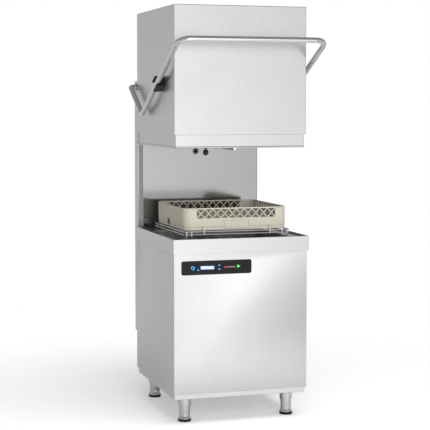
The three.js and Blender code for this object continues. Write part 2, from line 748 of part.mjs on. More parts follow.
function rack() {
  const middle = CENTRE[1];
  const depth = [middle - RACK_HALF, middle + RACK_HALF];
  const wall = 5;
  const outside = prism(roundedRectangle([-RACK_HALF, RACK_HALF], depth, 38), "z", RACK_BOTTOM, RACK_TOP);
  const insideOutline = roundedRectangle(
    [-RACK_HALF + wall, RACK_HALF - wall],
    [depth[0] + wall, depth[1] - wall],
    33,
  );
  let body = outside.subtract(prism(insideOutline, "z", RACK_BOTTOM + 5, RACK_TOP + 5));
  const window = block([-190, 190], [depth[0] - 5, depth[1] + 5], [935, 976]);
  body = body.subtract(window);
  for (let i = 0; i < 5; i++) {
    for (let k = 0; k < 5; k++) {
      const [x, y] = [-180 + 90 * i, middle - 180 + 90 * k];
      body = body.subtract(block([x - 36, x + 36], [y - 36, y + 36], [RACK_BOTTOM - 5, RACK_BOTTOM + 10]));
    }
  }
  return body;
}

function rackAndGuide() {
  add("rack_guide", "polished_steel", rackGuide());
  add("rack", "rack_plastic", rack());
}

casing();
washTank();
waterCircuit();
sprayArms();
services();
controls();
rearStructure();
hood();
lifting();
rackAndGuide();

export default machine;
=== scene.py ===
# %% [markdown]
# # A hood-type dishwasher with its hood raised
# A washing machine for professional kitchens is mostly folded stainless sheet: a cabinet on four
# legs, a tank with a rim, and a tall hood that slides up and down on two columns. The moving
# skeleton is fixed already. This file gives every part of it its real skin: bends, hems, wires,
# the moulded rack, and the finish of each material.

# %% Load the fixed frame
import json
import math

import bmesh
import bpy
from mathutils import Matrix, Vector

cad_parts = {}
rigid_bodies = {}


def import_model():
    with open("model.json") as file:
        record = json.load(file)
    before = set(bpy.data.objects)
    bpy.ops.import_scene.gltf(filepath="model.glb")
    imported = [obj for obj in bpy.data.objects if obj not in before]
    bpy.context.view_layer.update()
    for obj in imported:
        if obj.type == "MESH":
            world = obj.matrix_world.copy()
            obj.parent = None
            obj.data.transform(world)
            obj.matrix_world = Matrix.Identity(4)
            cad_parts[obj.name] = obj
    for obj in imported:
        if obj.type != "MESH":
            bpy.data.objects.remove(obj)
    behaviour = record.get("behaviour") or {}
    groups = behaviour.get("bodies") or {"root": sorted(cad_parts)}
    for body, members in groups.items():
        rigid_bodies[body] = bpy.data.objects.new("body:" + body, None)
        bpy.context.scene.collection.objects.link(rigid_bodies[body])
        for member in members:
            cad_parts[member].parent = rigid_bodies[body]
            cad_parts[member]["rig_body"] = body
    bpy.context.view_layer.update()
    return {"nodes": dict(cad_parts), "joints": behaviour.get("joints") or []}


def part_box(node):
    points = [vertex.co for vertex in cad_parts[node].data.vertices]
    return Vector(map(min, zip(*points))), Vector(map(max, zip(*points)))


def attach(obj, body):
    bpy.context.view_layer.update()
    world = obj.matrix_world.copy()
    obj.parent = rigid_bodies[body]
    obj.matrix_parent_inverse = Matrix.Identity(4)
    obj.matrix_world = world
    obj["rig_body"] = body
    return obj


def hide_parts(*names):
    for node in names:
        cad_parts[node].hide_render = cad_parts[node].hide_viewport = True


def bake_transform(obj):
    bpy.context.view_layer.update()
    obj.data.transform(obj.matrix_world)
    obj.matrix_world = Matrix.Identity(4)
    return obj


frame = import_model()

MM = 0.001
print("nodes to dress:", len(frame["nodes"]))

# %% [markdown]
# ## The camera and the studio
# A machine like this is shown with a long lens from a little above the tank, so that the uprights
# stay parallel. The studio is a pale floor, a surround and two soft boxes. Steel shows what stands
# around it: a bright window in the surround, in front, makes the front bright, and the darker walls
# beside it make the side panels grey. The soft boxes light the rack and the floor.


# %% Camera
def add_camera():
    data = bpy.data.cameras.new("camera")
    data.sensor_width = 36
    data.lens = 111.1
    data.shift_y = -0.06
    camera = bpy.data.objects.new("camera", data)
    bpy.context.scene.collection.objects.link(camera)
    turn_right, tilt_down = 0.3004, 0.0628  # radians
    camera.location = (-1.904, -6.018, 1.452)
    camera.rotation_euler = (math.pi / 2 - tilt_down, 0, -turn_right)
    bpy.context.scene.camera = camera


add_camera()
print("lens", bpy.context.scene.camera.data.lens, "mm")


# %% A node helper and a colour helper
def add_node(tree, kind, inputs=None, **settings):
    """Adds a node, sets its settings, then links or sets its inputs by name or number."""
    made = tree.nodes.new(kind)
    for key, value in settings.items():
        setattr(made, key, value)
    for key, value in (inputs or {}).items():
        if isinstance(value, bpy.types.NodeSocket):
            tree.links.new(value, made.inputs[key])
        else:
            made.inputs[key].default_value = value
    return made


def linear(code):
    """An sRGB hex colour as linear red, green, blue and alpha."""
    parts = [int(code[i : i + 2], 16) / 255 for i in (0, 2, 4)]
    return (*[p / 12.92 if p <= 0.04045 else ((p + 0.055) / 1.055) ** 2.4 for p in parts], 1)


# %% Floor
def add_floor(reach=3):
    """A pale floor that fades out a long way round the machine, so that no horizon shows."""
    mesh = bpy.data.meshes.new("studio_floor")
    mesh.from_pydata([(-reach, -reach, 0), (reach, -reach, 0), (reach, reach, 0), (-reach, reach, 0)],
                     [], [(0, 1, 2, 3)])
    floor = bpy.data.objects.new("studio_floor", mesh)
    bpy.context.scene.collection.objects.link(floor)
    material = bpy.data.materials.new("pale_studio_floor")
    material.use_nodes = True
    tree = material.node_tree
    shader = tree.nodes["Principled BSDF"]
    shader.inputs["Base Color"].default_value = linear("f7f7f7")
    shader.inputs["Roughness"].default_value = 0.9
    shader.inputs["Specular IOR Level"].default_value = 0.0
    shader.inputs["Emission Color"].default_value = (1, 1, 1, 1)
    path = add_node(tree, "ShaderNodeLightPath")
    glow = add_node(tree, "ShaderNodeMath", {0: path.outputs["Is Camera Ray"], 1: 0.3},
                    operation="MULTIPLY")
    place = add_node(tree, "ShaderNodeTexCoord").outputs["Object"]
    depth = add_node(tree, "ShaderNodeSeparateXYZ", {0: place}).outputs["Y"]
    # Painted light: the floor in front of the machine glows more strongly, for every ray, and the steel's
    # lower parts mirror this glow.
    painted_light_ahead = add_node(tree, "ShaderNodeMapRange", {
        "Value": depth, "From Min": -0.4, "From Max": -1.1, "To Min": 0.0, "To Max": 0.75})
    light = add_node(tree, "ShaderNodeMath", {0: glow.outputs[0], 1: painted_light_ahead.outputs["Result"]},
                     operation="ADD")
    tree.links.new(light.outputs[0], shader.inputs["Emission Strength"])
    distance = add_node(tree, "ShaderNodeVectorMath", {0: place}, operation="LENGTH")
    fade = add_node(tree, "ShaderNodeMapRange", {
        "Value": distance.outputs["Value"], "From Min": 0.8, "From Max": 2.2},
        interpolation_type="SMOOTHSTEP")
    clear = add_node(tree, "ShaderNodeBsdfTransparent")
    mixed = add_node(tree, "ShaderNodeMixShader", {
        0: fade.outputs["Result"], 1: shader.outputs[0], 2: clear.outputs[0]})
    tree.links.new(mixed.outputs[0], tree.nodes["Material Output"].inputs["Surface"])
    mesh.materials.append(material)


add_floor()
print("floor ready")


# %% Surround and soft boxes
def add_surround(seen, level, above, front):
    """The camera sees one plain brightness. The steel sees walls of one level all round, a brighter
    window in front and a darker ceiling above."""
    world = bpy.data.worlds.new("studio")
    world.use_nodes = True
    tree = world.node_tree
    tree.nodes.clear()
    path = add_node(tree, "ShaderNodeLightPath")
    way = add_node(tree, "ShaderNodeTexCoord").outputs["Generated"]
    height = add_node(tree, "ShaderNodeSeparateXYZ", {0: way}).outputs["Z"]
    level_way = add_node(tree, "ShaderNodeVectorMath", {0: way, 1: (1, 1, 0)}, operation="MULTIPLY")
    compass = add_node(tree, "ShaderNodeVectorMath", {0: level_way.outputs[0]}, operation="NORMALIZE")
    facing = add_node(tree, "ShaderNodeVectorMath", {0: compass.outputs[0], 1: (0.07, -0.9975, 0)},
                      operation="DOT_PRODUCT")
    window = add_node(tree, "ShaderNodeMapRange", {
        "Value": facing.outputs["Value"], "From Min": 0.92, "From Max": 1.0,
        "To Min": level, "To Max": front})
    brightness = add_node(tree, "ShaderNodeMapRange", {
        "Value": height, "From Min": 0.0, "From Max": 0.42,
        "To Min": window.outputs["Result"], "To Max": above}, interpolation_type="SMOOTHSTEP")
    direct = add_node(tree, "ShaderNodeBackground", {"Color": (seen, seen, seen, 1)})
    around = add_node(tree, "ShaderNodeBackground", {"Strength": brightness.outputs["Result"]})
    around.inputs["Color"].default_value = (1, 1, 1, 1)
    mixed = add_node(tree, "ShaderNodeMixShader", {
        0: path.outputs["Is Camera Ray"], 1: around.outputs[0], 2: direct.outputs[0]})
    add_node(tree, "ShaderNodeOutputWorld", {0: mixed.outputs[0]})
    bpy.context.scene.world = world


def soft_box(name, place, target, width, height, power):
    """An area lamp in watts that the steel doesn't mirror."""
    data = bpy.data.lights.new(name, "AREA")
    data.shape, data.size, data.size_y, data.energy = "RECTANGLE", width, height, power
    lamp = bpy.data.objects.new(name, data)
    bpy.context.scene.collection.objects.link(lamp)
    lamp.location = place
    lamp.rotation_euler = (Vector(target) - Vector(place)).to_track_quat("-Z", "Y").to_euler()
    lamp.visible_camera = lamp.visible_glossy = False


add_surround(seen=1.0, level=0.66, above=0.32, front=2.15)
soft_box("front_soft_box", (-0.4, -4.6, 1.6), (0, 0, 1.0), 3.0, 2.4, 80)
soft_box("top_soft_box", (0.4, -1.2, 4.6), (0, 0, 0.8), 3.0, 3.0, 110)
bpy.context.scene.view_settings.view_transform = "Standard"
print("soft boxes:", len(bpy.data.lights))

# %% [markdown]
# ## The finishes
# Each finish starts from what the real surface is. Most share one recipe: two close colours mixed
# by a fine noise, the same noise in the roughness and a little bump. The size of the noise comes
# from the real surface, so one recipe with other sizes gives brushed steel or moulded plastic.


# %% The shared recipe
def new_material(name, slot):
    material = bpy.data.materials.new(name)
    material.use_nodes = True
    material["slot"] = slot
    tree = material.node_tree
    place = add_node(tree, "ShaderNodeTexCoord").outputs["Object"]
    return material, tree, tree.nodes["Principled BSDF"], place


def noise(tree, place, size, stretch=(1, 1, 1), detail=3.0):
    """Noise whose features are about this size in metres, drawn out along an axis by the stretch."""
    scale = [1 / (size * s) for s in stretch]
    mapped = add_node(tree, "ShaderNodeMapping", {"Vector": place, "Scale": scale})
    made = add_node(tree, "ShaderNodeTexNoise", {
        "Vector": mapped.outputs[0], "Scale": 1.0, "Detail": detail})
    return made.outputs["Fac"]


def spread(tree, value, low, high):
    """Turns a noise of about 0.3 to 0.7 into a range."""
    made = add_node(tree, "ShaderNodeMapRange", {
        "Value": value, "From Min": 0.3, "From Max": 0.7, "To Min": low, "To Max": high})
    return made.outputs["Result"]


def mixed_colour(tree, factor, first, second):
    made = add_node(tree, "ShaderNodeMix", {0: factor, 6: linear(first), 7: linear(second)},
                    data_type="RGBA")
    return made.outputs[2]


def surface(name, slot, colours, rough, grain, stretch=(1, 1, 1), metallic=0.0, bump=0.0,
            smudge=0.12, coat=0.0, ior=1.5):
    """A surface with a fine grain and broad, faint smudges. Sizes are in metres."""
    material, tree, shader, place = new_material(name, slot)
    fine = noise(tree, place, grain, stretch)
    broad = noise(tree, place, smudge, detail=2.0)
    both = add_node(tree, "ShaderNodeMath", {0: fine, 1: broad}, operation="ADD")
    half = add_node(tree, "ShaderNodeMath", {0: both.outputs[0], 1: 0.5}, operation="MULTIPLY")
    colour = mixed_colour(tree, spread(tree, fine, 0, 1), *colours)
    tree.links.new(colour, shader.inputs["Base Color"])
    tree.links.new(spread(tree, half.outputs[0], *rough), shader.inputs["Roughness"])
    shader.inputs["Metallic"].default_value = metallic
    shader.inputs["Coat Weight"].default_value = coat
    if not metallic:
        shader.inputs["IOR"].default_value = ior
    if bump:
        relief = add_node(tree, "ShaderNodeBump", {
            "Height": fine, "Strength": 0.35, "Distance": bump})
        tree.links.new(relief.outputs[0], shader.inputs["Normal"])
    return material


# %% [markdown]
# ### Steel
# The casing is austenitic stainless sheet with a brushed finish: the belt leaves upright lines a
# few tenths of a millimetre wide. That is too fine to show here, so the lines are drawn about a
# millimetre wide and a hand long. The handle and the wires are polished, so they mirror what is
# near them. The splash back has a satin finish, which gives a softer mirror; its colour is far
# darker than real steel, which is painted shade for the shade inside the hood. The base tray keeps
# the dull finish of the mill. The boiler and the springs are zinc-coated, with crystals in the zinc.


# %% Steel finishes
BRUSHED = surface("brushed_stainless_steel", "brushed_steel", ("c6c6c6", "cecece"), (0.27, 0.33),
                  0.9 * MM, (1, 1, 110), metallic=1.0, bump=0.02 * MM)
POLISHED = surface("polished_stainless_steel", "polished_steel", ("d0d0d0", "d9d9d9"), (0.07, 0.13),
                   0.6 * MM, (1, 60, 60), metallic=1.0)
# The splash back's steel: its dark colour is painted shade for the shade inside the hood, and only the softer
# roughness is the satin finish.
SATIN_WITH_PAINTED_SHADE = surface("satin_steel_darkened_as_painted_shade", "polished_steel", ("8e8e8e", "989898"), (0.11, 0.15), 0.6 * MM,
                (1, 1, 60), metallic=1.0)
MILL = surface("mill_finish_steel", "brushed_steel", ("cecece", "d8d8d8"), (0.34, 0.44), 2 * MM,
               metallic=1.0)


def zinc():
    material, tree, shader, place = new_material("galvanised_steel", "galvanised_steel")
    spangle = add_node(tree, "ShaderNodeTexVoronoi", {"Vector": place, "Scale": 1 / (9 * MM)})
    tone = add_node(tree, "ShaderNodeSeparateColor", {0: spangle.outputs["Color"]}).outputs[0]
    tree.links.new(mixed_colour(tree, tone, "9ea4a8", "bfc5c8"), shader.inputs["Base Color"])
    tree.links.new(spread(tree, tone, 0.34, 0.52), shader.inputs["Roughness"])
    shader.inputs["Metallic"].default_value = 1.0
    return material


ZINC = zinc()
print("steels:", [steel.name for steel in (BRUSHED, POLISHED, SATIN_WITH_PAINTED_SHADE, MILL, ZINC)])

# %% [markdown]
# ### Plastics, rubber and paint
# The rack is polypropylene, moulded in a spark-eroded tool that leaves a fine grain. The guide
# shoes are nylon, the knob is a glossier nylon, and the pumps are a plain grey housing plastic.
# The motor has a hammer-effect enamel: its dimples are a few millimetres wide.

# %% Plastic, rubber and paint finishes
RACK_PLASTIC = surface("moulded_polypropylene", "rack_plastic", ("b7b3a3", "cbc7b8"), (0.45, 0.62),
                       1.6 * MM, bump=0.12 * MM, smudge=0.05)
NYLON = surface("moulded_black_nylon", "black_plastic", ("121314", "1e1f21"), (0.38, 0.52),
                0.7 * MM, bump=0.05 * MM)
KNOB_NYLON = surface("glossy_blue_grey_nylon", "knob_plastic", ("26313f", "33414f"), (0.25, 0.36),
                     0.8 * MM, bump=0.03 * MM)
HOUSING_PLASTIC = surface("grey_housing_plastic", "grey_plastic", ("565b61", "636970"),
                          (0.42, 0.58), 0.9 * MM, bump=0.06 * MM)
RUBBER = surface("black_rubber", "hose_rubber", ("151515", "222222"), (0.7, 0.88), 1.2 * MM,
                 bump=0.1 * MM)
ENAMEL = surface("hammer_effect_enamel", "motor_paint", ("343a3f", "474e54"), (0.25, 0.4),
                 4 * MM, bump=0.4 * MM, coat=0.4)


# %% [markdown]
# ### The control glass and the circuit board
# The control panel is glass printed black on its back, so the front is smooth and glossy with a
# faint depth. The symbols are lit from behind. The circuit board is green solder mask, with the
# copper tracks standing out as paler lines on a square raster.


# %% Glass, lights and board
def glass():
    material, tree, shader, place = new_material("back_printed_glass", "black_glass")
    dust = noise(tree, place, 35 * MM)
    tree.links.new(mixed_colour(tree, spread(tree, dust, 0, 1), "0c0c0d", "121213"),
                   shader.inputs["Base Color"])
    tree.links.new(spread(tree, dust, 0.05, 0.1), shader.inputs["Roughness"])
    shader.inputs["Specular IOR Level"].default_value = 0.2
    return material


def lit_print(name, colour, deep, strength):
    """A translucent print with a lamp behind it: brightest where the diffuser is thin."""
    material, tree, shader, place = new_material(name, "black_glass")
    tone = mixed_colour(tree, spread(tree, noise(tree, place, 6 * MM), 0, 1), colour, deep)
    tree.links.new(tone, shader.inputs["Base Color"])
    tree.links.new(tone, shader.inputs["Emission Color"])
    shader.inputs["Emission Strength"].default_value = strength
    shader.inputs["Roughness"].default_value = 0.3
    return material


def board():
    material, tree, shader, place = new_material("solder_mask_board", "circuit_board")
    track = add_node(tree, "ShaderNodeTexBrick", {
        "Vector": place, "Scale": 1 / (20 * MM), "Mortar Size": 0.03,
        "Color1": linear("1b5a35"), "Color2": linear("1f6a3d"), "Mortar": linear("6f9a5c")})
    tree.links.new(track.outputs["Color"], shader.inputs["Base Color"])
    shader.inputs["Roughness"].default_value = 0.35
    return material


GLASS = glass()
BLUE = lit_print("lit_blue_symbol", "2aa0e0", "1877b8", 1.2)
DISPLAY = lit_print("lit_display", "c9d4ff", "6f80d8", 0.9)
GREEN = lit_print("lit_green_symbol", "35e04a", "22b838", 1.2)
RED = lit_print("lit_red_bar", "b02a2a", "8a1f1f", 0.5)
PALE = lit_print("pale_printed_bar", "8d9092", "6e7173", 0.15)
BOARD = board()
print("materials:", len(bpy.data.materials))

# %% [markdown]
# ## Making the shapes
# Four ways of making cover nearly every part, and each is what a workshop does: sheet is folded,
# round parts are turned, wires and tubes are bent, and plates are cut out. Each helper gives a
# closed mesh with its place in its points.


# %% Mesh basics
def mesh_piece(name, points, faces):
    mesh = bpy.data.meshes.new(name)
    mesh.from_pydata([tuple(p) for p in points], [], faces)
    piece = bpy.data.objects.new(name, mesh)
    bpy.context.scene.collection.objects.link(piece)
    return piece


def edited(piece, change):
    """Runs a change on the piece's mesh as a bmesh."""
    mesh = bmesh.new()
    mesh.from_mesh(piece.data)
    change(mesh)
    mesh.to_mesh(piece.data)
    mesh.free()
    return piece


def outward(mesh):
    bmesh.ops.remove_doubles(mesh, verts=mesh.verts, dist=0.01 * MM)
    bmesh.ops.recalc_face_normals(mesh, faces=mesh.faces)


def plain(piece):
    """Replaces a piece's live modifiers by the mesh that they make."""
    graph = bpy.context.evaluated_depsgraph_get()
    made = piece.evaluated_get(graph)
    piece.data = bpy.data.meshes.new_from_object(made, preserve_all_data_layers=True,
                                                 depsgraph=graph)
    piece.modifiers.clear()
    return piece


def cut(piece, *cutters):
    """Takes the cutters' shapes out of a piece."""
    for cutter in cutters:
        modifier = piece.modifiers.new("cut", "BOOLEAN")
        modifier.operation, modifier.solver, modifier.object = "DIFFERENCE", "EXACT", cutter
    plain(piece)
    for cutter in cutters:
        bpy.data.objects.remove(cutter)
    return piece


def joined(name, *pieces):
    """One piece from several."""
    mesh = bmesh.new()
    for piece in pieces:
        mesh.from_mesh(piece.data)
        bpy.data.objects.remove(piece)
    made = mesh_piece(name, [], [])
    mesh.to_mesh(made.data)
    mesh.free()
    return made


# %% Finishing a piece
def finished(piece, material, body, replaced=(), edge=0.0, steps=2, smooth=35):
    """Breaks the sharp edges, shades the piece, and hands it to the frame."""
    piece.data.materials.clear()
    piece.data.materials.append(material)
    for face in piece.data.polygons:
        face.material_index = 0
    if edge:
        rounding = piece.modifiers.new("edge", "BEVEL")
        rounding.width, rounding.segments, rounding.limit_method = edge, steps, "ANGLE"
        rounding.angle_limit = math.radians(smooth)
        plain(piece)

    def shade(mesh):
        for face in mesh.faces:
            face.smooth = True
        for line in mesh.edges:
            line.smooth = line.is_manifold and line.calc_face_angle(0) < math.radians(smooth)

    edited(piece, shade)
    weighted = piece.modifiers.new("weighted_normals", "WEIGHTED_NORMAL")
    weighted.keep_sharp, weighted.weight = True, 90
    plain(piece)
    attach(piece, body)
    if replaced:
        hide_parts(*replaced)
    return piece


def refined(node, material, body, edge=0.5 * MM, steps=2):
    """A merged copy of a node with its edges broken, which stands for the node."""
    piece = bpy.data.objects.new(node + "_finished", frame["nodes"][node].data.copy())
    bpy.context.scene.collection.objects.link(piece)

    def merge(mesh):
        bmesh.ops.remove_doubles(mesh, verts=mesh.verts, dist=0.01 * MM)
        bmesh.ops.dissolve_limit(mesh, angle_limit=math.radians(1), verts=mesh.verts,
                                 edges=mesh.edges)

    return finished(edited(piece, merge), material, body, (node,), edge, steps)


# %% Folded sheet
SHEET = 1.5 * MM


def box_sides(x, y, z, names):
    """The named sides of a box as outward quads."""
    (x0, x1), (y0, y1), (z0, z1) = x, y, z
    sides = {
        "front": [(x0, y0, z0), (x1, y0, z0), (x1, y0, z1), (x0, y0, z1)],
        "back": [(x1, y1, z0), (x0, y1, z0), (x0, y1, z1), (x1, y1, z1)],
        "left": [(x0, y1, z0), (x0, y0, z0), (x0, y0, z1), (x0, y1, z1)],
        "right": [(x1, y0, z0), (x1, y1, z0), (x1, y1, z1), (x1, y0, z1)],
        "top": [(x0, y0, z1), (x1, y0, z1), (x1, y1, z1), (x0, y1, z1)],
        "bottom": [(x0, y1, z0), (x1, y1, z0), (x1, y0, z0), (x0, y0, z0)],
    }
    return [sides[name] for name in names.split()]


def quads_mesh(quads):
    points = [p for quad in quads for p in quad]
    return points, [tuple(range(4 * i, 4 * i + 4)) for i in range(len(quads))]


def folded(name, quads, bend, thickness=SHEET):
    """Sheet folded along every edge that two quads share. The quads are the outer faces."""
    piece = mesh_piece(name, *quads_mesh(quads))

    def fold(mesh):
        bmesh.ops.remove_doubles(mesh, verts=mesh.verts, dist=0.01 * MM)
        bends = [e for e in mesh.edges if len(e.link_faces) == 2]
        if bends:
            bmesh.ops.bevel(mesh, geom=bends, offset=bend, offset_type="OFFSET", segments=5,
                            profile=0.5, affect="EDGES", clamp_overlap=True)

    edited(piece, fold)
    wall = piece.modifiers.new("thickness", "SOLIDIFY")
    wall.thickness, wall.offset, wall.use_even_offset = thickness, -1, True
    return plain(piece)


def solid_box(name, x, y, z):
    quads = box_sides(x, y, z, "front back left right top bottom")
    return edited(mesh_piece(name, *quads_mesh(quads)), outward)


# %% Turned parts
TURNS = {
    "x": Matrix(((0, 0, 1), (1, 0, 0), (0, 1, 0))),
    "y": Matrix(((0, 1, 0), (0, 0, 1), (1, 0, 0))),
    "z": Matrix.Identity(3),
}


def rounded_path(corners, steps=6, closed=False):
    """Points of a path. Each corner is (point, radius of its bend)."""
    route = []
    count = len(corners)
    for i, (point, radius) in enumerate(corners):
        here = Vector(point)
        if radius == 0 or (not closed and i in (0, count - 1)):
            route.append(here)
            continue
        back = (Vector(corners[i - 1][0]) - here).normalized()
        painted_light_ahead = (Vector(corners[(i + 1) % count][0]) - here).normalized()
        half = back.angle(painted_light_ahead) / 2
        centre = (back + painted_light_ahead).normalized() * (radius / math.sin(half))
        start = back * (radius / math.tan(half)) - centre
        axis = start.cross(painted_light_ahead * (radius / math.tan(half)) - centre).normalized()
        for k in range(steps + 1):
            turn = Matrix.Rotation((math.pi - 2 * half) * k / steps, 3, axis)
            route.append(here + centre + turn @ start)
    return route


def turned(name, profile, centre, axis="z", sides=64, lobes=0, lobe_depth=0.0):
    """Turns a closed profile of (radius, height along the axis, corner radius) about an axis."""
    on_axis = profile[0][0] == 0
    corners = [((r, 0, h), soft) for r, h, soft in profile]
    outline = [(p.x, p.z) for p in rounded_path(corners, 4, closed=not on_axis)]
    points, rings = [], []
    for radius, height in outline:
        first = len(points)
        if radius < 1e-7:
            points.append((0, 0, height))
            rings.append([first] * sides)
            continue
        for k in range(sides):
            angle = 2 * math.pi * k / sides
            reach = radius * (1 - lobe_depth * (0.5 - 0.5 * math.cos(lobes * angle)))
            points.append((reach * math.cos(angle), reach * math.sin(angle), height))
        rings.append(list(range(first, first + sides)))
    pairs = list(zip(rings, rings[1:]))
    if not on_axis:
        pairs.append((rings[-1], rings[0]))
    faces = []
    for low, high in pairs:
        for k in range(sides):
            n = (k + 1) % sides
            corner = list(dict.fromkeys([low[k], low[n], high[n], high[k]]))
            if len(corner) > 2:
                faces.append(corner)
    placed = [TURNS[axis] @ Vector(p) + Vector(centre) for p in points]
    return edited(mesh_piece(name, placed, faces), outward)


def drill(radius, low, high, centre, axis="z", sides=64):
    """A round cutter from one height to another along an axis."""
    shape = [(0, low, 0), (radius, low, 0), (radius, high, 0), (0, high, 0)]
    return turned("hole", shape, centre, axis, sides)


# %% Bent wire and tube
def pipe(name, route, radius, sides=24, closed=False):
    """A round bar along a route, with flat ends or joined to itself."""
    count = len(route)
    points, faces = [], []
    tangent = (route[1] - route[0]).normalized()
    side = tangent.orthogonal().normalized()
    for i, here in enumerate(route):
        before = route[i - 1] if i or closed else here
        after = route[(i + 1) % count] if i < count - 1 or closed else here
        painted_light_ahead = ((after - here).normalized() + (here - before).normalized()).normalized()
        side = (tangent.rotation_difference(painted_light_ahead) @ side).normalized()
        side = (side - painted_light_ahead * side.dot(painted_light_ahead)).normalized()
        tangent = painted_light_ahead
        up = painted_light_ahead.cross(side)
        for k in range(sides):
            angle = 2 * math.pi * k / sides
            points.append(here + radius * (math.cos(angle) * side + math.sin(angle) * up))
    for i in range(count if closed else count - 1):
        low, high = i * sides, ((i + 1) % count) * sides
        for k in range(sides):
            n = (k + 1) % sides
            faces.append((low + k, low + n, high + n, high + k))
    if not closed:
        faces += [tuple(range(sides)), tuple(range((count - 1) * sides, count * sides))]
    return edited(mesh_piece(name, points, faces), outward)


def rod(name, start, end, radius, sides=20):
    return pipe(name, [Vector(start), Vector(end)], radius, sides)


# %% Lofted rings
def ring(x, y, z, radius, steps=8):
    """A level rounded rectangle."""
    (x0, x1), (y0, y1) = x, y
    centres = [(x1 - radius, y0 + radius, -90), (x1 - radius, y1 - radius, 0),
               (x0 + radius, y1 - radius, 90), (x0 + radius, y0 + radius, 180)]
    loop = []
    for cx, cy, start in centres:
        for k in range(steps + 1):
            angle = math.radians(start + 90 * k / steps)
            loop.append(Vector((cx + radius * math.cos(angle), cy + radius * math.sin(angle), z)))
    return loop


def lofted(name, rings, bottom=False, top=False, closed=False):
    """A skin over a stack of rings with equal numbers of points."""
    size = len(rings[0])
    points = [p for loop in rings for p in loop]
    faces = []
    for i in range(len(rings) if closed else len(rings) - 1):
        low, high = i * size, ((i + 1) % len(rings)) * size
        for k in range(size):
            n = (k + 1) % size
            faces.append((low + k, low + n, high + n, high + k))
    if bottom:
        faces.append(tuple(reversed(range(size))))
    if top:
        faces.append(tuple(range((len(rings) - 1) * size, len(rings) * size)))
    return mesh_piece(name, points, faces)


print("workshop ready")


# %% Measures taken from the frame
def spans(node):
    """A node's reach along x, y and z."""
    low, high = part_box(node)
    return tuple((low[i], high[i]) for i in range(3))


def middle(node):
    low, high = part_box(node)
    return Vector((low + high) / 2)


def level_middle(node):
    """The point on the floor under the middle of a node."""
    return Vector((*middle(node).xy, 0))


def heights(node):
    """A node's lowest and highest level in millimetres."""
    return [level / MM for level in spans(node)[2]]


def about(centre, half):
    return centre - half, centre + half


def mm(profile):
    """Points written in millimetres, in metres."""
    return [tuple(value * MM for value in point) for point in profile]


def frame_joint(name):
    return next(joint for joint in frame["joints"] if joint["name"] == name)


print("hood travel:", frame_joint("hood_lift")["range_m"])

# %% [markdown]
# ## Repeats with Geometry Nodes
# Screws, slats, pegs, nozzles and the turns of a spring repeat by a rule, so each comes from a
# node tree with named sizes. A tree takes loose points or nothing, and ends in Realize Instances
# and Set Material. Its result is turned into a plain mesh at once.


# %% Tree helpers
def new_tree(name, sockets):
    """An empty tree with these named inputs, and the sockets that they arrive on."""
    tree = bpy.data.node_groups.new(name, "GeometryNodeTree")
    tree.interface.new_socket("Geometry", in_out="INPUT", socket_type="NodeSocketGeometry")
    for label, kind in {**sockets, "Material": "Material"}.items():
        tree.interface.new_socket(label, in_out="INPUT", socket_type="NodeSocket" + kind)
    tree.interface.new_socket("Geometry", in_out="OUTPUT", socket_type="NodeSocketGeometry")
    return tree, add_node(tree, "NodeGroupInput").outputs


def end_tree(tree, geometry, given):
    real = add_node(tree, "GeometryNodeRealizeInstances", {0: geometry})
    painted = add_node(tree, "GeometryNodeSetMaterial", {
        "Geometry": real.outputs[0], "Material": given["Material"]})
    add_node(tree, "NodeGroupOutput", {0: painted.outputs[0]})
    return tree


def grown(name, tree, material, points=((0, 0, 0),), **values):
    """Runs a tree on loose points with the given sizes and keeps the mesh."""
    piece = mesh_piece(name, points, [])
    modifier = piece.modifiers.new(tree.name, "NODES")
    modifier.node_group = tree
    wanted = {label.replace("_", " "): value for label, value in values.items()}
    for item in tree.interface.items_tree:
        if item.in_out == "INPUT" and item.name in wanted:
            modifier[item.identifier] = wanted[item.name]
        if item.in_out == "INPUT" and item.name == "Material":
            modifier[item.identifier] = material
    return plain(piece)


# %% [markdown]
# ### A row of bars
# Slats, fins, lattice strips and grid ribs are all the same thing: one bar, repeated at a pitch.


# %% Tree: a row of bars
def bars_tree():
    tree, given = new_tree("row_of_bars", {
        "Count": "Int", "First": "Vector", "Pitch": "Vector", "Size": "Vector", "Turn": "Vector"})
    line = add_node(tree, "GeometryNodeMeshLine", {
        "Count": given["Count"], "Start Location": given["First"], "Offset": given["Pitch"]})
    bar = add_node(tree, "GeometryNodeMeshCube", {"Size": given["Size"]})
    turn = add_node(tree, "FunctionNodeEulerToRotation", {0: given["Turn"]})
    row = add_node(tree, "GeometryNodeInstanceOnPoints", {
        "Points": line.outputs[0], "Instance": bar.outputs[0], "Rotation": turn.outputs[0]})
    return end_tree(tree, row.outputs[0], given)


BARS = bars_tree()


def bars(name, material, count, first, pitch, size, turn=(0, 0, 0)):
    return grown(name, BARS, material, Count=count, First=first, Pitch=pitch, Size=size, Turn=turn)


# %% [markdown]
# ### Screws
# The covers are held by hexagon screws with a flange. The tree puts one on every loose point, with
# its axis along a given direction: a disc for the flange and a six-sided cylinder for the head.


